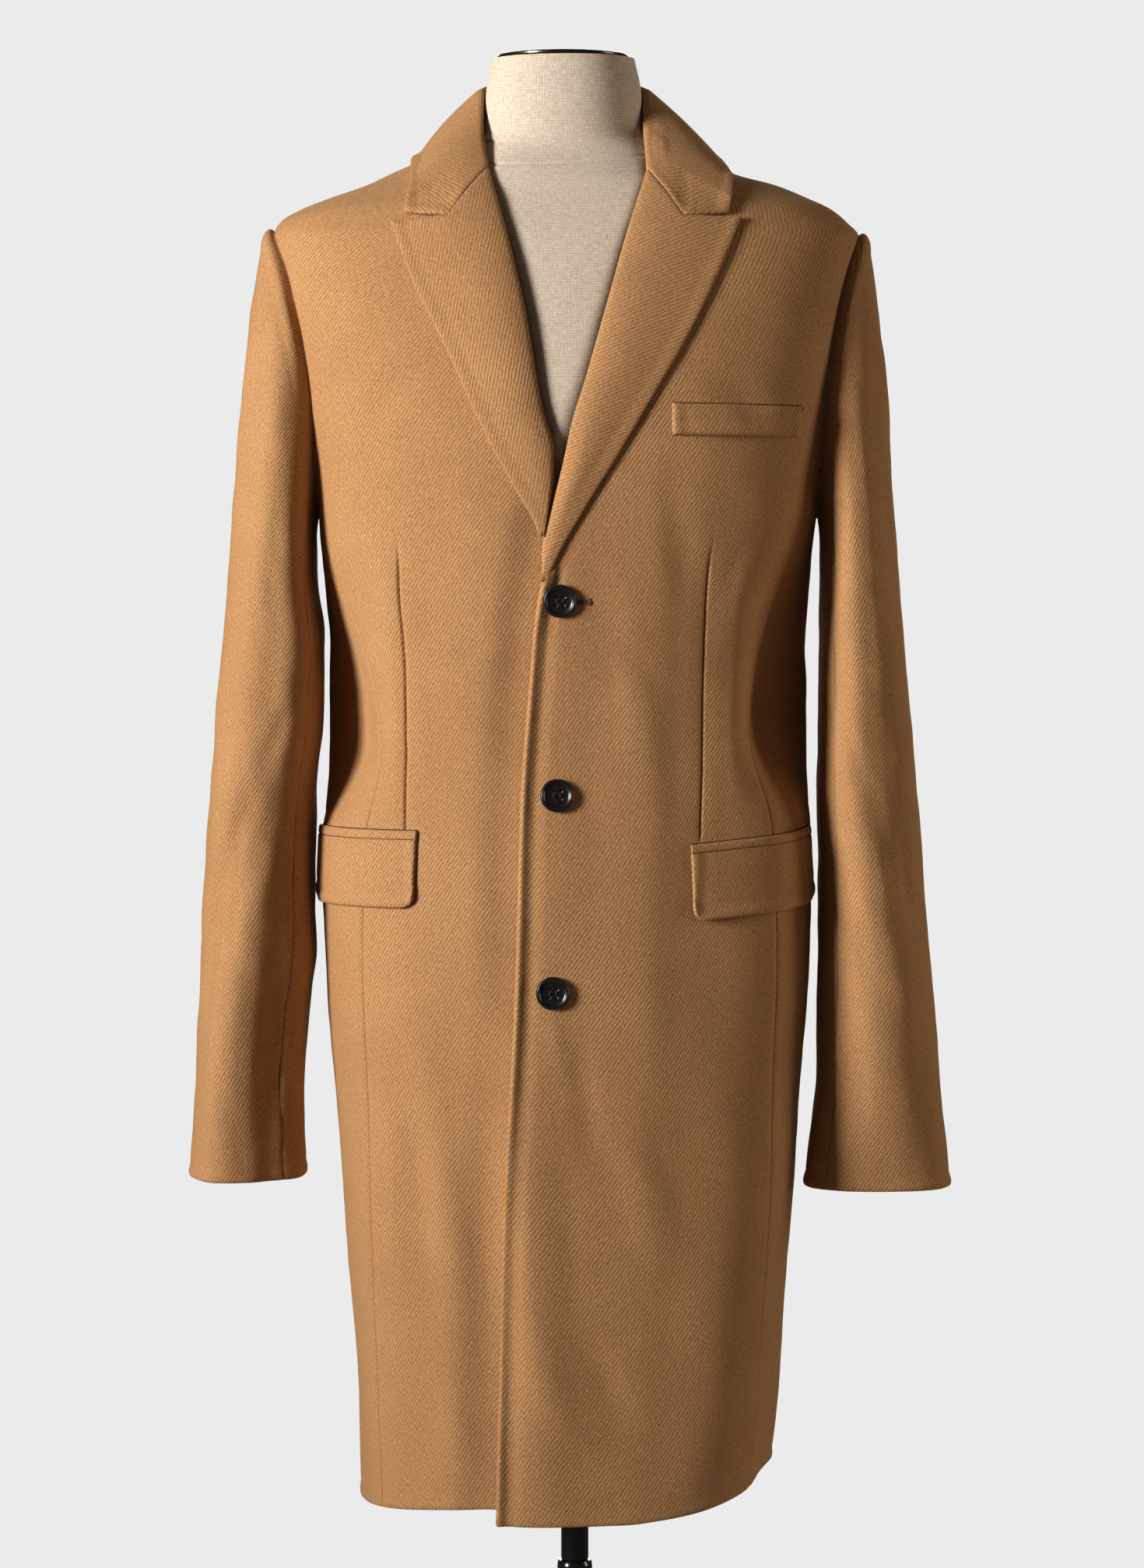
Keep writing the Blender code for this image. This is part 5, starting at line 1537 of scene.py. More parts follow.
    def collar_tracks(self) -> list[list[Curve]]:
        """Curves of the collar's fold, free edge and neck seam from right to left."""
        rest = LAY_GAP + LAPEL_WALL / 2
        ends = {Side.RIGHT: (UNDER_LAPEL_ROLL[-1], UNDER_CORNER),
                Side.LEFT: (OVER_LAPEL_ROLL[-1], OVER_CORNER)}
        tracks = []
        for side in Side:
            roll, corner = ends[side]
            turn = self.surface.front_turn(roll.x, roll.z)
            fold = [self.surface.lay(roll.x, roll.z, rest)]
            edge = [self.surface.lay(corner.x, corner.z, rest)]
            neck = [self.surface.point(turn, roll.z, -WALL / 2)]
            for row in COLLAR:
                angle = side.value * math.radians(row.turn)
                fold.append(around(row.radius, angle, row.z) + np.array([*self.axis, 0]))
                edge.append(self.surface.point(side.value * math.radians(row.edge_turn),
                                               row.edge_z, rest + EDGE_LIFT))
                base = self.surface.point(side.value * math.radians(row.neck_turn),
                                          min(row.neck_z, BODY[-1].z), -WALL / 2)
                base[2] = row.neck_z + 0.0015
                neck.append(base)
            tracks.append([fold, edge, neck])
        whole = [np.array(tracks[0][k] + tracks[1][k][-2::-1]) for k in range(3)]
        place = np.arange(len(whole[0]))
        return [[Curve(place, track[:, axis]) for axis in range(3)] for track in whole]

    def collar_middle(self, steps: Array) -> Array:
        """Mid surface of the collar at steps round the neck: up the stand and down the fall."""
        fold, edge, neck = (np.stack([c(steps) for c in track], axis=-1)
                            for track in self.collar_tracks())
        out = fold - np.array([*self.axis, 0])
        out[:, 2] = 0
        out = unit(out)
        up = np.array([0, 0, 1.0])
        beside = ramp(np.minimum(steps, LAST_STEP - steps) - self.first_step)
        into = fold - out * self.fold_half - up * self.fold_drop
        away = fold + out * self.fold_half - up * self.fold_drop
        rows = [neck, into, fold, away]
        for share in ACROSS[1:-1]:
            dip = lerp(self.puff * dome(share), self.bulge * math.sin(math.pi * share), beside)
            rows.append(lerp(away, edge, share) + unit(out + up) * dip[:, None])
        grid = np.stack(rows + [edge], axis=1)
        grid[:, 4:] = self.keep_off(grid[:, 4:], LAY_GAP + LAPEL_WALL / 2 + 2 * EDGE_LIFT)
        return grid

    def make_collar(self) -> bpy.types.Object:
        """The collar from the right gorge round the back to the left one."""
        steps = np.linspace(self.first_step, LAST_STEP - self.first_step, self.collar_rows)
        middle = self.finer(self.collar_middle(steps), 2)
        offset = grid_normals(middle, -1.0) * LAPEL_WALL / 2
        faces = [middle + offset, middle - offset]
        ends = {0: (UNDER_LAPEL_ROLL[-1], UNDER_CORNER, UNDER_GORGE),
                -1: (OVER_LAPEL_ROLL[-1], OVER_CORNER, OVER_GORGE)}
        shares = spacing(0.045, CELL, True, False)[:-1, None, None]
        for first, points in ends.items():
            spots = [np.array([p.x, p.z + LAY_GAP]) for p in points]
            rows = self.turned_row(*spots, 1.0, self.puff)
            for k, row in enumerate(rows):
                start = self.finer(self.laid(row[None]), 2)[0]
                if first == 0:
                    faces[k] = np.concatenate([lerp(start, faces[k][0], shares), faces[k]])
                else:
                    faces[k] = np.concatenate(
                        [faces[k], lerp(start, faces[k][-1], shares)[::-1]])
        outer, inner = faces
        outer, free = self.finish_edges(outer, -1.0, True)
        flat = unrolled(outer, 6, self.unroll_angle)
        cloth = twill_map(flat[..., 0], flat[..., 1], self.collar_lean)
        return twill_piece(self.wardrobe, "collar", outer, inner, cloth, free)

    def build(self) -> dict[str, bpy.types.Object]:
        """Builds both lapels and the collar."""
        made = [self.make_lapel(side) for side in Side] + [self.make_collar()]
        return {piece.name: piece for piece in made}


# ---------------------------------------------------------------- threads
def thread_piece(name: str, runs: Sequence[Array], radius: float,
                 material: bpy.types.Material) -> bpy.types.Object:
    """One piece of several short threads.

    Args:
        name: the piece's name.
        runs: for each thread, its points.
        radius: the thread's radius.
        material: its finish.

    Returns:
        The piece, as a mesh.
    """
    curve = bpy.data.curves.new(name, "CURVE")
    curve.dimensions = "3D"
    curve.bevel_depth = radius
    curve.bevel_resolution = 1
    curve.use_fill_caps = True
    for run in runs:
        line = curve.splines.new("POLY")
        line.points.add(len(run) - 1)
        for place, spot in zip(line.points, run):
            place.co = (*spot, 1.0)
    pick(linked(name, curve))
    bpy.ops.object.convert(target="MESH")
    made = bpy.context.object
    made.data.shade_smooth()
    made.select_set(False)
    return dress(made, material)


# ---------------------------------------------------------------- pockets
@dataclass
class Pockets:
    """Side pockets with jets and flaps, and the breast pocket's welt."""

    surface: CoatSurface
    wardrobe: Wardrobe
    jet_height: float = 0.0062
    metric: float = 0.145
    cell: float = 0.0030
    flap_lift: float = 0.0012
    stitch_radius: float = 0.00026
    shadow_line_radius: float = 0.00042

    def places(self, patch: Patch, shift: float) -> tuple[Array, Array, Array]:
        """Turns and heights of a patch, its lower corners rounded, and its share down."""
        length = abs(math.radians(patch.outer - patch.inner)) * self.metric
        share = spacing(length, self.cell, True, True)
        turn = np.radians(lerp(patch.inner, patch.outer, share))
        top = lerp(patch.top_inner, patch.top_outer, share) + shift
        off = np.minimum(share, 1 - share) * length
        inside = np.clip(1 - off / max(patch.radius, 1e-6), 0, 1)
        bottom = top - patch.height + patch.radius * (1 - np.sqrt(1 - inside ** 2))
        fine = spacing(patch.height, self.cell * 0.6, True, True) if patch.height > 0.011 \
            else np.linspace(0, 1, 9)
        down = (1 - fine)[:, None]
        return turn[None, :] + 0 * down, lerp(top[None, :], bottom[None, :], down), down

    def make(self, name: str, patch: Patch, shift: float = 0.0, lift: float = 0.0,
             piped: bool = False) -> bpy.types.Object:
        """Builds a flap, a jet or the welt on the coat's surface.

        Args:
            name: the node.
            patch: its sizes.
            shift: how far it is moved up.
            lift: how far its lower edge stands off.
            piped: whether it is a narrow roll of cloth.

        Returns:
            The piece.
        """
        turn, z, down = self.places(patch, shift)
        rise = lift * down ** 2 + 0 * z
        base = self.surface.point(turn, z, LAY_GAP + TRIM_WALL + rise)
        if piped:
            relief = 0.0007 * (1 - (2 * down - 1) ** 4) - 0.0005 + 0 * z
            free = np.zeros(z.shape)
        else:
            borders = Borders(Border.FREE, Border.PLAIN, Border.FREE, Border.FREE)
            relief, free = border_relief(base, borders)
        outer = self.surface.point(turn, z, LAY_GAP + TRIM_WALL + rise + relief)
        inner = self.surface.point(turn, z, LAY_GAP + rise)
        cloth = twill_map(self.surface.girth(turn), z + 0.0011)
        return twill_piece(self.wardrobe, name, outer, inner, cloth, free)

    def stitch_line(self, start: tuple[float, float], end: tuple[float, float], pitch: float,
                    length: float, out: float) -> list[Array]:
        """Short stitches along a line between two places given by turn and height.

        Args:
            start: turn in degrees and height of the line's start.
            end: the same for its end.
            pitch: from one stitch to the next.
            length: of each stitch.
            out: how far the thread lies out from the coat.

        Returns:
            The points of each stitch.
        """
        span = math.hypot(math.radians(end[0] - start[0]) * self.metric, end[1] - start[1])
        count = max(int(span / pitch), 1)
        runs = []
        for k in range(count):
            share = (k + np.array([0.0, 0.25, 0.75, 1.0]) * length / pitch) / count
            turn = np.radians(lerp(start[0], end[0], share))
            z = lerp(start[1], end[1], share)
            runs.append(self.surface.point(turn, z, out + np.array([-0.0004, 0.0, 0.0, -0.0004])))
        return runs

    def line(self, start: tuple[float, float], end: tuple[float, float], out: float) -> Array:
        """Points along a line between two places given by turn in degrees and height."""
        share = np.linspace(0, 1, 40)
        return self.surface.point(np.radians(lerp(start[0], end[0], share)),
                                  lerp(start[1], end[1], share), 0 * share + out)

    def painted_shadow_lines(self) -> list[Array]:
        """Painted shadow: dark threads along the seams above the jets, between jet and flap, and
        round the welt's mouth, where shade falls.
        """
        lines = []
        for flap in FLAPS.values():
            for up, out in ((SEAM_GAP + self.jet_height + 0.0004, 0.0005),
                            (SEAM_GAP / 2, LAY_GAP + TRIM_WALL - 0.0007)):
                lines.append(self.line((flap.inner, flap.top_inner + up),
                                       (flap.outer, flap.top_outer + up), out))
        top = ((WELT.inner, WELT.top_inner + 0.0004), (WELT.outer + 0.3, WELT.top_outer + 0.0004))
        low = WELT.top_inner - WELT.height - 0.0004
        lines.append(self.line(*top, 0.0006))
        lines.append(self.line(top[1], (WELT.outer + 0.3, low), 0.0004))
        lines.append(self.line((WELT.inner, low), (WELT.outer + 0.3, low), 0.0003))
        return lines

    def build(self) -> dict[str, bpy.types.Object]:
        """Builds the pockets, the welt's stitches and the dark threads of painted shadow along
        their seams.
        """
        made = []
        for side in Side:
            flap = FLAPS[side]
            made.append(self.make(f"flap_{side.word}", flap, lift=self.flap_lift))
            jet = flap._replace(radius=0.0, height=self.jet_height)
            shift = self.jet_height + SEAM_GAP
            made.append(self.make(f"jet_{side.word}", jet, shift=shift, piped=True))
        made.append(self.make("breast_welt", WELT))
        low = WELT.top_inner - WELT.height
        face = LAY_GAP + TRIM_WALL + 0.0002
        lines = [((WELT.inner + 0.6, low + 0.0012), (WELT.outer - 0.6, low + 0.0012), 0.0030)]
        lines += [((foot, low + 0.002), (head, top - 0.001), 0.0024) for foot, head, top in (
            (WELT.inner + 0.7, WELT.inner + 0.7, WELT.top_inner),
            (WELT.inner + 1.9, WELT.inner + 1.9, WELT.top_inner),
            (WELT.outer - 0.8, WELT.outer - 0.5, WELT.top_outer))]
        runs = []
        for start, end, pitch in lines:
            runs += self.stitch_line(start, end, pitch, pitch * 0.6, face)
        bars = [self.surface.point(np.radians(np.array([t, t])), np.array([z, z - 0.0030]),
                                   np.array([face, face]))
                for t, z in ((WELT.outer - 0.9 + 0.25 * k, WELT.top_outer - 0.0004)
                             for k in range(5))]
        made.append(thread_piece("welt_stitches", runs + bars, self.stitch_radius,
                                 self.wardrobe.camel_thread))
        # Painted shadow: dark threads along the pockets' seams and the welt's mouth.
        made.append(thread_piece("painted_pocket_shadows", self.painted_shadow_lines(), self.shadow_line_radius,
                                 self.wardrobe.shadow_line_thread))
        return {piece.name: piece for piece in made}


# ---------------------------------------------------------------- turned pieces
def turned(name: str, profile: Sequence[tuple[float, float]], steps: int,
           sharp: float) -> bpy.types.Object:
    """Spins a profile of radius and height round the upright axis.

    Args:
        name: the piece's name.
        profile: radius and height of each point, from the axis below to the axis on top.
        steps: sides of the turned shape.
        sharp: angle in degrees above which an edge stays sharp.

    Returns:
        The object, at the origin.
    """
    data = bpy.data.meshes.new(name)
    links = [(i, i + 1) for i in range(len(profile) - 1)]
    data.from_pydata([(r, 0.0, z) for r, z in profile], links, [])
    made = linked(name, data)
    pick(made)
    bpy.ops.object.mode_set(mode="EDIT")
    bpy.ops.mesh.select_all(action="SELECT")
    bpy.ops.mesh.spin(steps=steps, angle=2 * math.pi, center=(0, 0, 0), axis=(0, 0, 1))
    bpy.ops.mesh.select_all(action="SELECT")
    bpy.ops.mesh.remove_doubles(threshold=0.00002)
    bpy.ops.mesh.select_all(action="SELECT")
    bpy.ops.mesh.normals_make_consistent(inside=False)
    bpy.ops.object.mode_set(mode="OBJECT")
    bpy.ops.object.shade_smooth_by_angle(angle=math.radians(sharp))
    made.select_set(False)
    return made


@dataclass
class Buttons:
    """Three four-hole buttons, their threads and their worked buttonholes."""

    surface: CoatSurface
    wardrobe: Wardrobe
    radius: float = 0.0115
    height: float = 0.0040
    hole: float = 0.0010
    spread: float = 0.0022
    lane: float = 0.00035
    slit_drop: float = 0.0008
    purl_pitch: float = 0.0006

    def blank(self) -> bpy.types.Object:
        """One button at the origin, facing up, with its holes."""
        r, h = self.radius, self.height
        control = np.array([(r * 0.70, 0), (r * 0.88, h * 0.14), (r, h * 0.48),
                            (r * 0.985, h * 0.80), (r * 0.92, h * 0.99), (r * 0.84, h * 0.97),
                            (r * 0.76, h * 0.78), (r * 0.66, h * 0.64), (r * 0.50, h * 0.58)])
        line = [(0.0, 0.0)] + [tuple(p) for p in smooth_line(control, 4)]
        made = turned("button_blank", line + [(0.0, h * 0.56)], 64, 60.0)
        bpy.ops.object.select_all(action="DESELECT")
        for x_side, y_side in ((-1, -1), (-1, 1), (1, -1), (1, 1)):
            bpy.ops.mesh.primitive_cylinder_add(
                vertices=16, radius=self.hole, depth=0.02,
                location=(x_side * self.spread, y_side * self.spread, 0))
            drill = bpy.context.object
            cut = made.modifiers.new("hole", "BOOLEAN")
            cut.object = drill
            bpy.context.view_layer.objects.active = made
            bpy.ops.object.modifier_apply(modifier=cut.name)
            bpy.data.objects.remove(drill, do_unlink=True)
        return made

    def frame(self, place: Point) -> Matrix:
        """The turn and place of a button on the coat."""
        turn = self.surface.front_turn(place.x, place.z)
        normal = self.surface.normal(turn, np.array(place.z))
        across = unit(np.cross([0, 0, 1.0], normal))
        up = np.cross(normal, across)
        spot = self.surface.point(turn, np.array(place.z), 0.0005)
        frame = Matrix(np.stack([across, up, normal], axis=1).tolist()).to_4x4()
        frame.translation = Vector(spot.tolist())
        return frame

    def threads(self, index: int, frame: Matrix) -> bpy.types.Object:
        """The threads across a button's holes."""
        s, low, high = self.spread, self.height * 0.50, self.height * 0.72
        runs = []
        for x in (middle + lane for middle in (-s, s) for lane in (-self.lane, 0, self.lane)):
            line = [(x, -s, low), (x, -s * 0.5, high), (x, s * 0.5, high), (x, s, low)]
            runs.append(np.array([frame @ Vector(p) for p in line]))
        return thread_piece(f"button_thread_{index}", runs, THREAD_RADIUS,
                            self.wardrobe.thread)

    def buttonhole(self, index: int, place: Point, start: float, end: float) -> bpy.types.Object:
        """A worked buttonhole: purl stitches along both lips of a level slit, and a bar tack.

        Args:
            index: number of the button.
            place: where the button is.
            start: how far right of the button's middle the slit starts.
            end: how far right it ends.

        Returns:
            The stitches.
        """
        runs = []
        for x in np.arange(start, end, self.purl_pitch):
            for side in (-1, 1):
                z = place.z - self.slit_drop + side * np.array([0.0002, 0.0008, 0.0014])
                runs.append(self.surface.lay(np.full(3, place.x + x), z,
                                             np.array([0.0003, 0.0009, 0.0001])))
        for k in range(5):
            x = np.full(3, place.x + end + 0.0003 * k)
            z = place.z - self.slit_drop + np.array([-0.0026, 0.0, 0.0026])
            runs.append(self.surface.lay(x, z, np.array([0.0001, 0.0009, 0.0001])))
        return thread_piece(f"buttonhole_{index}", runs, THREAD_RADIUS, self.wardrobe.purl)

    def build(self) -> dict[str, bpy.types.Object]:
        """Builds and places the three buttons."""
        blank = self.blank()
        made = {}
        for index, place in enumerate(BUTTONS, 1):
            frame = self.frame(place)
            mesh = blank.data.copy()
            mesh.transform(frame)
            piece = linked(f"horn_button_{index}", mesh)
            dress(piece, self.wardrobe.horn, [f"button_{index}"])
            made[piece.name] = piece
            thread = self.threads(index, frame)
            made[thread.name] = thread
            hole = self.buttonhole(index, place, -0.004, 0.0195 if index == 1 else 0.0085)
            made[hole.name] = hole
        bpy.data.objects.remove(blank, do_unlink=True)
        return made


# ---------------------------------------------------------------- form and stand
@dataclass
class DressForm:
    """The linen-covered form, its neck cap and the stand."""

    surface: CoatSurface
    wardrobe: Wardrobe
    square: float = 2.1
    neck_x: float = -0.006
    neck_y: float = 0.004
    pole_x: float = 0.002
    chest: float = 0.0062
    inset: float = 0.0105
    throat_inset: float = 0.0066
    shoulder_inset: float = 0.0046
    seam_z: float = 1.4400
    seam_tilt: float = 0.0045
    seam_dip: float = 0.0075
    seam_depth: float = 0.0009

    def heights(self) -> Array:
        """Heights of the form's rings, closer at the neck's seam."""
        return np.concatenate([np.linspace(FORM[0].z, 1.36, 112), np.arange(1.364, 1.425, 0.0030),
                               np.arange(1.426, 1.452, 0.0008),
                               np.linspace(1.4535, FORM[-1].z, 20)])

    def grid(self) -> Array:
        """Rings of the form, with the ditch of the neck's seam."""
        half, front, back, middle = (Curve.of(FORM, "z", name)
                                     for name in ("half", "front", "back", "middle"))
        z = self.heights()[:, None]
        turn = np.linspace(-math.pi, math.pi, 145)[None, :]
        wide = half(z) + np.sign(np.sin(turn)) * middle(z)
        deep = np.where(np.cos(turn) > 0, front(z), back(z))
        radius = oval(turn, wide, deep, self.square)
        carried = bump((np.degrees(np.abs(turn)) - 90) / 30) * bump((z - 1.409) / 0.024)
        throat = ramp((70 - np.degrees(np.abs(turn))) / 30) * ramp((z - 1.405) / 0.025)
        inset = lerp(lerp(self.inset, self.throat_inset, throat), self.shoulder_inset, carried)
        limit = self.surface.radius(turn, np.minimum(z + 0.0012, BODY[-1].z)) - inset
        above = 0.030 * ramp((z - BODY[-1].z + 0.006) / 0.016) ** 2
        radius = np.minimum(radius, limit + above)
        level = np.clip(z, 1.200, 1.420)
        left, right = (Curve.of(roll, "z", "x")(level)
                       for roll in (UNDER_LAPEL_ROLL, OVER_LAPEL_ROLL))
        across = radius * np.sin(turn)
        inside = np.where(np.cos(turn) > 0, np.minimum(across - left, right - across), -1.0)
        radius = radius + self.chest * (ramp((inside + 0.004) / 0.014) * ramp((z - 1.185) / 0.040)
                                        * ramp((1.452 - z) / 0.035))
        seam = self.seam_z + self.seam_tilt * np.sin(turn) - self.seam_dip * np.cos(turn)
        radius = radius - self.seam_depth * bump((z - seam) / 0.0018)
        radius = radius + 0.0003 * bump((z - seam) / 0.006)
        return around(radius, turn, z)

    def make_form(self) -> bpy.types.Object:
        """The form as one closed body with a map for its linen."""
        grid = self.grid()
        rows, columns = grid.shape[:2]
        mesh = bmesh.new()
        rings = [[mesh.verts.new(p) for p in ring[:-1]] for ring in grid]
        layer = mesh.loops.layers.uv.new("cloth")
        mean = np.hypot(grid[..., 0], grid[..., 1]).mean(axis=1)
        up = run_along(grid, 0).mean(axis=1)
        turn = np.linspace(-math.pi, math.pi, columns)
        for i in range(rows - 1):
            for j in range(columns - 1):
                k = (j + 1) % (columns - 1)
                face = mesh.faces.new((rings[i][j], rings[i][k], rings[i + 1][k],
                                       rings[i + 1][j]))
                spots = ((i, j), (i, j + 1), (i + 1, j + 1), (i + 1, j))
                for loop, (a, b) in zip(face.loops, spots):
                    loop[layer].uv = (turn[b] * mean[a], up[a])
        for ring in (rings[0], rings[-1]):
            face = mesh.faces.new(ring)
            for loop in face.loops:
                loop[layer].uv = (loop.vert.co.x, loop.vert.co.y)
        bmesh.ops.recalc_face_normals(mesh, faces=mesh.faces)
        data = bpy.data.meshes.new("linen_form")
        mesh.to_mesh(data)
        mesh.free()
        piece = linked("linen_form", data)
        pick(piece)
        bpy.ops.object.shade_smooth_by_angle(angle=math.radians(50))
        piece.select_set(False)
        return dress(piece, self.wardrobe.linen, ["dress_form"])

    def make_cap(self) -> bpy.types.Object:
        """The metal plate on the neck, with a rolled rim and a low boss."""
        low = FORM[-1].z + SEAM_GAP
        profile = [(0.0, 0.0), (0.0455, 0.0), (0.0470, 0.0004), (0.0475, 0.0012),
                   (0.0475, 0.0022), (0.0470, 0.0029), (0.0462, 0.0032), (0.0440, 0.0031),
                   (0.0425, 0.0026), (0.0200, 0.0026), (0.0190, 0.0030), (0.0120, 0.0032),
                   (0.0, 0.0032)]
        piece = turned("neck_plate", profile, 96, 30.0)
        piece.data.transform(Matrix.Translation((self.neck_x, self.neck_y, low)))
        return dress(piece, self.wardrobe.cap, ["neck_cap"])

    def upright(self, piece: bpy.types.Object, node: str) -> bpy.types.Object:
        """Moves a tube onto the pole's axis and paints it black."""
        piece.data.transform(Matrix.Translation((self.pole_x, 0, 0)))
        return dress(piece, self.wardrobe.black, [node])

    def make_pole(self) -> bpy.types.Object:
        """The pole under the form."""
        low, high = 0.433, FORM[0].z - SEAM_GAP
        r = 0.0098
        profile = [(0.0, low), (r - 0.0006, low), (r, low + 0.0006), (r, high - 0.0006),
                   (r - 0.0006, high), (0.0, high)]
        return self.upright(turned("pole_tube", profile, 64, 30.0), "pole")

    def make_collar(self) -> bpy.types.Object:
        """The wider lower tube with its foot."""
        low, top, r = 0.0123, 0.4327, 0.0125
        profile = [(0.0, low), (0.0290, low), (0.0300, low + 0.0010), (0.0300, low + 0.0052),
                   (0.0288, low + 0.0066), (0.0235, low + 0.0110), (0.0185, low + 0.0195),
                   (0.0150, low + 0.0250), (r, low + 0.0300), (r, top - 0.0040),
                   (r - 0.0003, top - 0.0018), (r - 0.0012, top), (0.0, top)]
        return self.upright(turned("lower_tube", profile, 64, 25.0), "pole_collar")

    def make_base(self) -> bpy.types.Object:
        """The round base plate, slightly domed."""
        profile = [(0.0, 0.0), (0.1630, 0.0), (0.1645, 0.0006), (0.1650, 0.0020),
                   (0.1650, 0.0048), (0.1644, 0.0064), (0.1628, 0.0078), (0.1600, 0.0086),
                   (0.1200, 0.0100), (0.0800, 0.0113), (0.0450, 0.0119), (0.0, 0.0120)]
        piece = turned("base_plate", profile, 128, 25.0)
        return dress(piece, self.wardrobe.black, ["base"])

    def build(self) -> dict[str, bpy.types.Object]:
        """Builds the form and its stand."""
        made = [self.make_form(), self.make_cap(), self.make_pole(), self.make_collar(),
                self.make_base()]
        return {piece.name: piece for piece in made}


# ---------------------------------------------------------------- cloth facts
class Cut(NamedTuple):
    """The flat cut of a piece of cloth, how it is held and what it rests on."""

    name: str
    width: float
    length: float
    area: float
    held: str
    rests: str
    joined: str


CUTS = listed(
    Cut, ("front_left", 0.275, 0.940, 0.190, "draped", "linen_form", ""),
    ("front_right", 0.255, 0.940, 0.170, "draped", "linen_form", ""),
    ("side_left", 0.190, 0.730, 0.125, "draped", "linen_form", ""),
    ("side_right", 0.195, 0.730, 0.132, "draped", "linen_form", ""),
    ("back_left", 0.205, 1.000, 0.154, "draped", "linen_form", ""),
    ("back_right", 0.205, 1.000, 0.157, "draped", "linen_form", ""),
    ("sleeve_top_left", 0.240, 0.700, 0.138, "draped", "linen_form", ""),
    ("sleeve_top_right", 0.240, 0.700, 0.140, "draped", "linen_form", ""),
    ("sleeve_under_left", 0.125, 0.580, 0.055, "draped", "linen_form", ""),
    ("sleeve_under_right", 0.125, 0.580, 0.057, "draped", "linen_form", ""),
    ("lapel_left", 0.090, 0.290, 0.0145, "folded", "front_left_cloth", ""),
    ("lapel_right", 0.090, 0.290, 0.0140, "folded", "front_right_cloth", ""),
    ("collar", 0.095, 0.470, 0.0400, "folded", "linen_form", ""),
    ("flap_left", 0.108, 0.049, 0.0051, "hung", "front_left_cloth", "jet_left"),
    ("flap_right", 0.100, 0.049, 0.0048, "hung", "front_right_cloth", "jet_right"),
    ("breast_welt", 0.088, 0.024, 0.0020, "laid", "front_left_cloth", ""))


# ---------------------------------------------------------------- studio
@dataclass
class Lamp:
    """A soft box: its place, aim, size, power, colour and the angle that it lights."""

    name: str
    place: tuple[float, float, float]
    aim: tuple[float, float, float]
    size: tuple[float, float]
    power: float
    colour: tuple[float, float, float]
    spread: float = 180.0

    def build(self) -> None:
        """Hangs the lamp."""
        data = bpy.data.lights.new(self.name, "AREA")
        data.shape = "RECTANGLE"
        data.size, data.size_y = self.size
        data.energy = self.power
        data.color = self.colour
        data.spread = math.radians(self.spread)
        made = linked(self.name, data)
        made.location = self.place
        made.visible_camera = False
        aim = Vector(self.aim) - Vector(self.place)
        made.rotation_euler = aim.to_track_quat("-Z", "Y").to_euler()


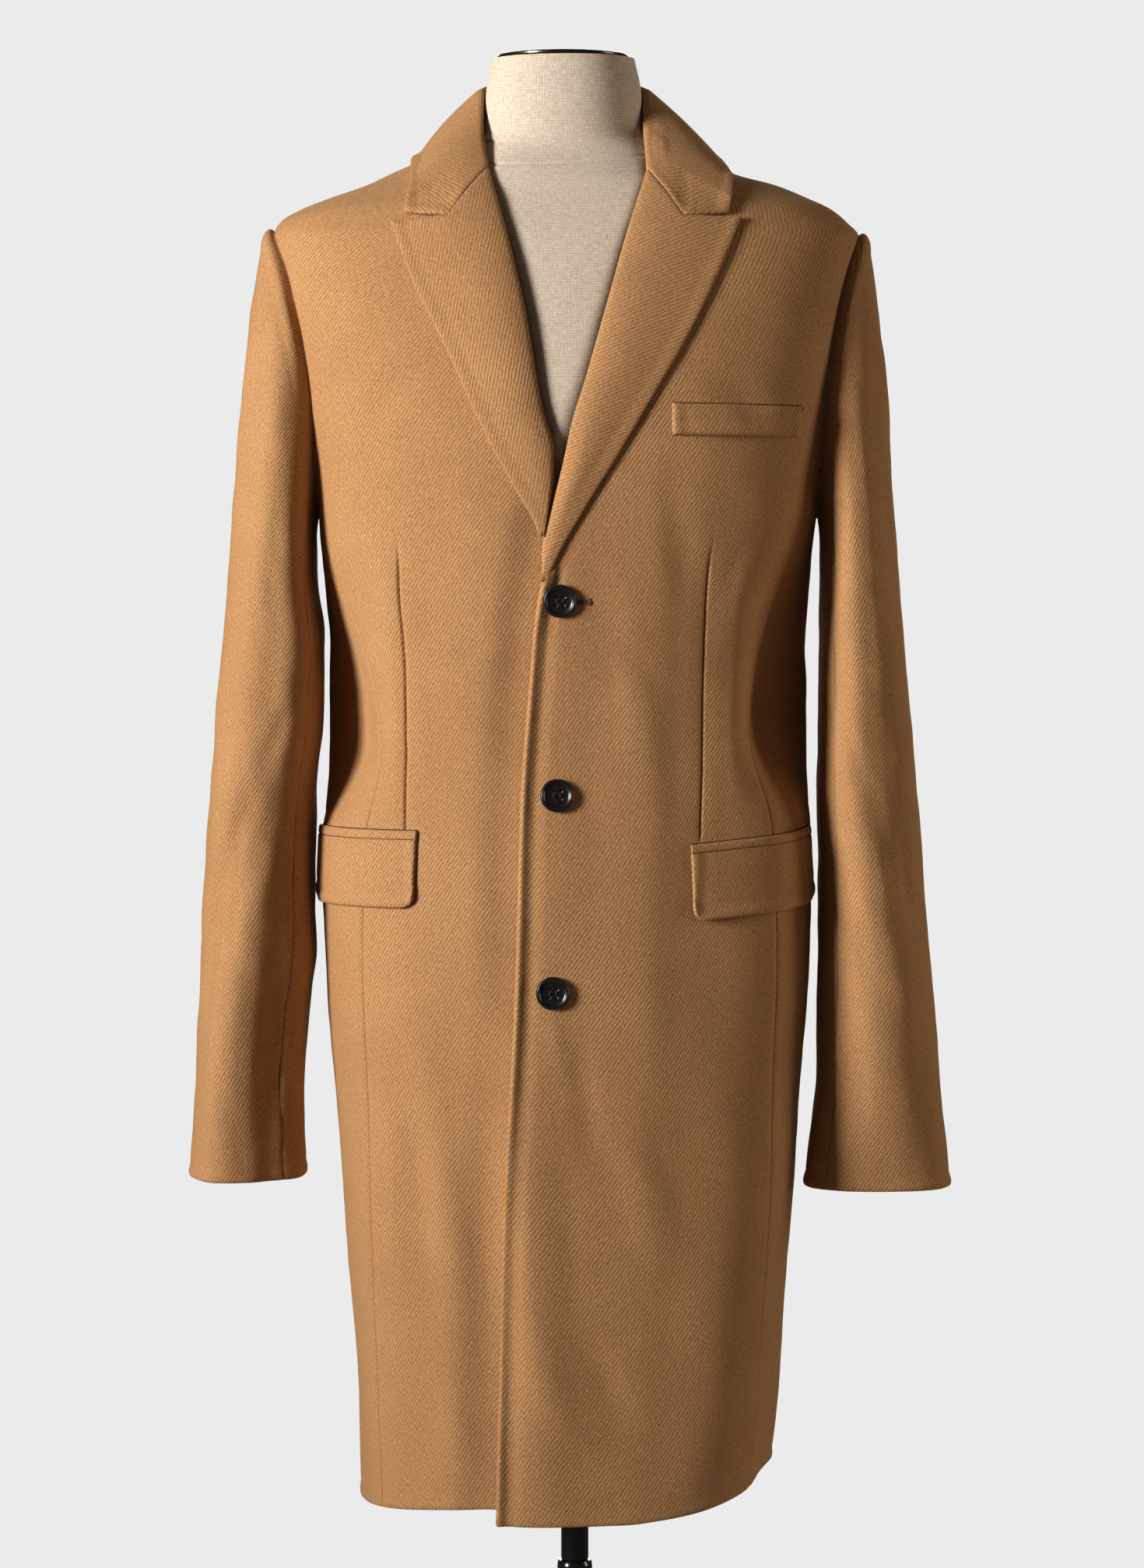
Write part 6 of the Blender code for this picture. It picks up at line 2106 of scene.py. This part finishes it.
@dataclass
class Studio:
    """Pale floor, even pale surroundings, soft boxes and the camera."""

    distance: float = 3.2
    height: float = 1.19
    pixel: float = 0.00056
    surround: float = 0.8542
    gamma: float = 0.85
    fill: float = 0.10
    fade_from: float = 0.22
    fade_to: float = 1.10
    photo_width: int = 1470
    middle_row: int = 1007
    eye_row: int = 650
    lamps: list[Lamp] = field(default_factory=lambda: [
        Lamp("key", (-3.40, -2.30, 1.90), (-0.05, -0.05, 1.30), (1.15, 1.70), 21.5,
             (1.0, 0.98, 0.95), 46.0),
        Lamp("edge", (2.5, -0.2, 1.20), (0.25, 0.0, 1.00), (0.8, 1.4), 20.0, (1.0, 0.90, 0.76)),
        Lamp("back", (0.3, 2.6, 1.7), (0.0, 0.0, 1.05), (1.6, 1.8), 38.0, (1.0, 0.98, 0.95)),
    ])

    def make_camera(self) -> None:
        """The camera of the photograph: level, centred, with its frame shifted down."""
        data = bpy.data.cameras.new("camera")
        data.sensor_fit = "HORIZONTAL"
        data.sensor_width = 36.0
        data.lens = data.sensor_width * self.distance / (self.photo_width * self.pixel)
        data.shift_y = -(self.middle_row - self.eye_row) / self.photo_width
        made = linked("camera", data)
        made.location = (0, -self.distance, self.height)
        made.rotation_euler = (math.pi / 2, 0, 0)
        bpy.context.scene.camera = made

    def make_world(self) -> None:
        """Even pale surroundings that light less than they show."""
        world = bpy.data.worlds.new("surroundings")
        bpy.context.scene.world = world
        world.use_nodes = True
        tree = world.node_tree
        shown = tree.nodes["Background"]
        shown.inputs["Color"].default_value = (self.surround,) * 3 + (1.0,)
        dim = tree.nodes.new("ShaderNodeBackground")
        dim.inputs["Color"].default_value = (1.0, 0.85, 0.66, 1.0)
        dim.inputs["Strength"].default_value = self.fill
        seen = tree.nodes.new("ShaderNodeLightPath")
        mix = tree.nodes.new("ShaderNodeMixShader")
        tree.links.new(seen.outputs["Is Camera Ray"], mix.inputs[0])
        tree.links.new(dim.outputs[0], mix.inputs[1])
        tree.links.new(shown.outputs[0], mix.inputs[2])
        tree.links.new(mix.outputs[0], tree.nodes["World Output"].inputs["Surface"])

    def make_floor(self) -> None:
        """A pale round floor whose rim fades into the surroundings."""
        bpy.ops.object.select_all(action="DESELECT")
        bpy.ops.mesh.primitive_circle_add(vertices=96, radius=self.fade_to + 0.05,
                                          fill_type="NGON", location=(0, 0, 0))
        floor = bpy.context.object
        floor.name = "floor"
        wiring = Wiring("pale_floor")
        spot = wiring.place((1.0, 1.0, 1.0))
        grain = wiring.noise(spot, 300.0, 3.0, 0.6)
        wiring.base(grain, (0.78, 0.78, 0.77), (0.82, 0.82, 0.81))
        wiring.set(Roughness=0.8)
        far = wiring.add("ShaderNodeVectorMath", operation="LENGTH")
        wiring.join(spot, far.inputs[0])
        share = wiring.stretch(far.outputs["Value"], self.fade_from, self.fade_to,
                               interpolation_type="SMOOTHSTEP")
        clear = wiring.add("ShaderNodeBsdfTransparent")
        mix = wiring.add("ShaderNodeMixShader")
        wiring.join(share, mix.inputs[0])
        wiring.join(wiring.shader.outputs[0], mix.inputs[1])
        wiring.join(clear.outputs[0], mix.inputs[2])
        wiring.join(mix.outputs[0], wiring.tree.nodes["Material Output"].inputs["Surface"])
        floor.data.materials.append(wiring.material)
        floor.select_set(False)

    def build(self) -> None:
        """Sets up camera, surroundings, floor and lamps."""
        bpy.context.scene.view_settings.view_transform = "Standard"
        bpy.context.scene.view_settings.gamma = self.gamma
        self.make_camera()
        self.make_world()
        self.make_floor()
        for lamp in self.lamps:
            lamp.build()


def main() -> None:
    """Builds the coat, its form and the studio."""
    logging.basicConfig(level=logging.INFO, format="%(name)s: %(message)s")
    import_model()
    Studio().build()
    wardrobe = Wardrobe()
    surface = CoatSurface()
    panels = BodyPanels(surface, wardrobe)
    for maker in (panels, Sleeves(surface, panels, wardrobe), Neckwear(surface, wardrobe),
                  Pockets(surface, wardrobe), Buttons(surface, wardrobe),
                  DressForm(surface, wardrobe)):
        for name, piece in maker.build().items():
            LOG.info("%s: %d faces", name, len(piece.data.polygons))


if __name__ == "__main__":
    main()
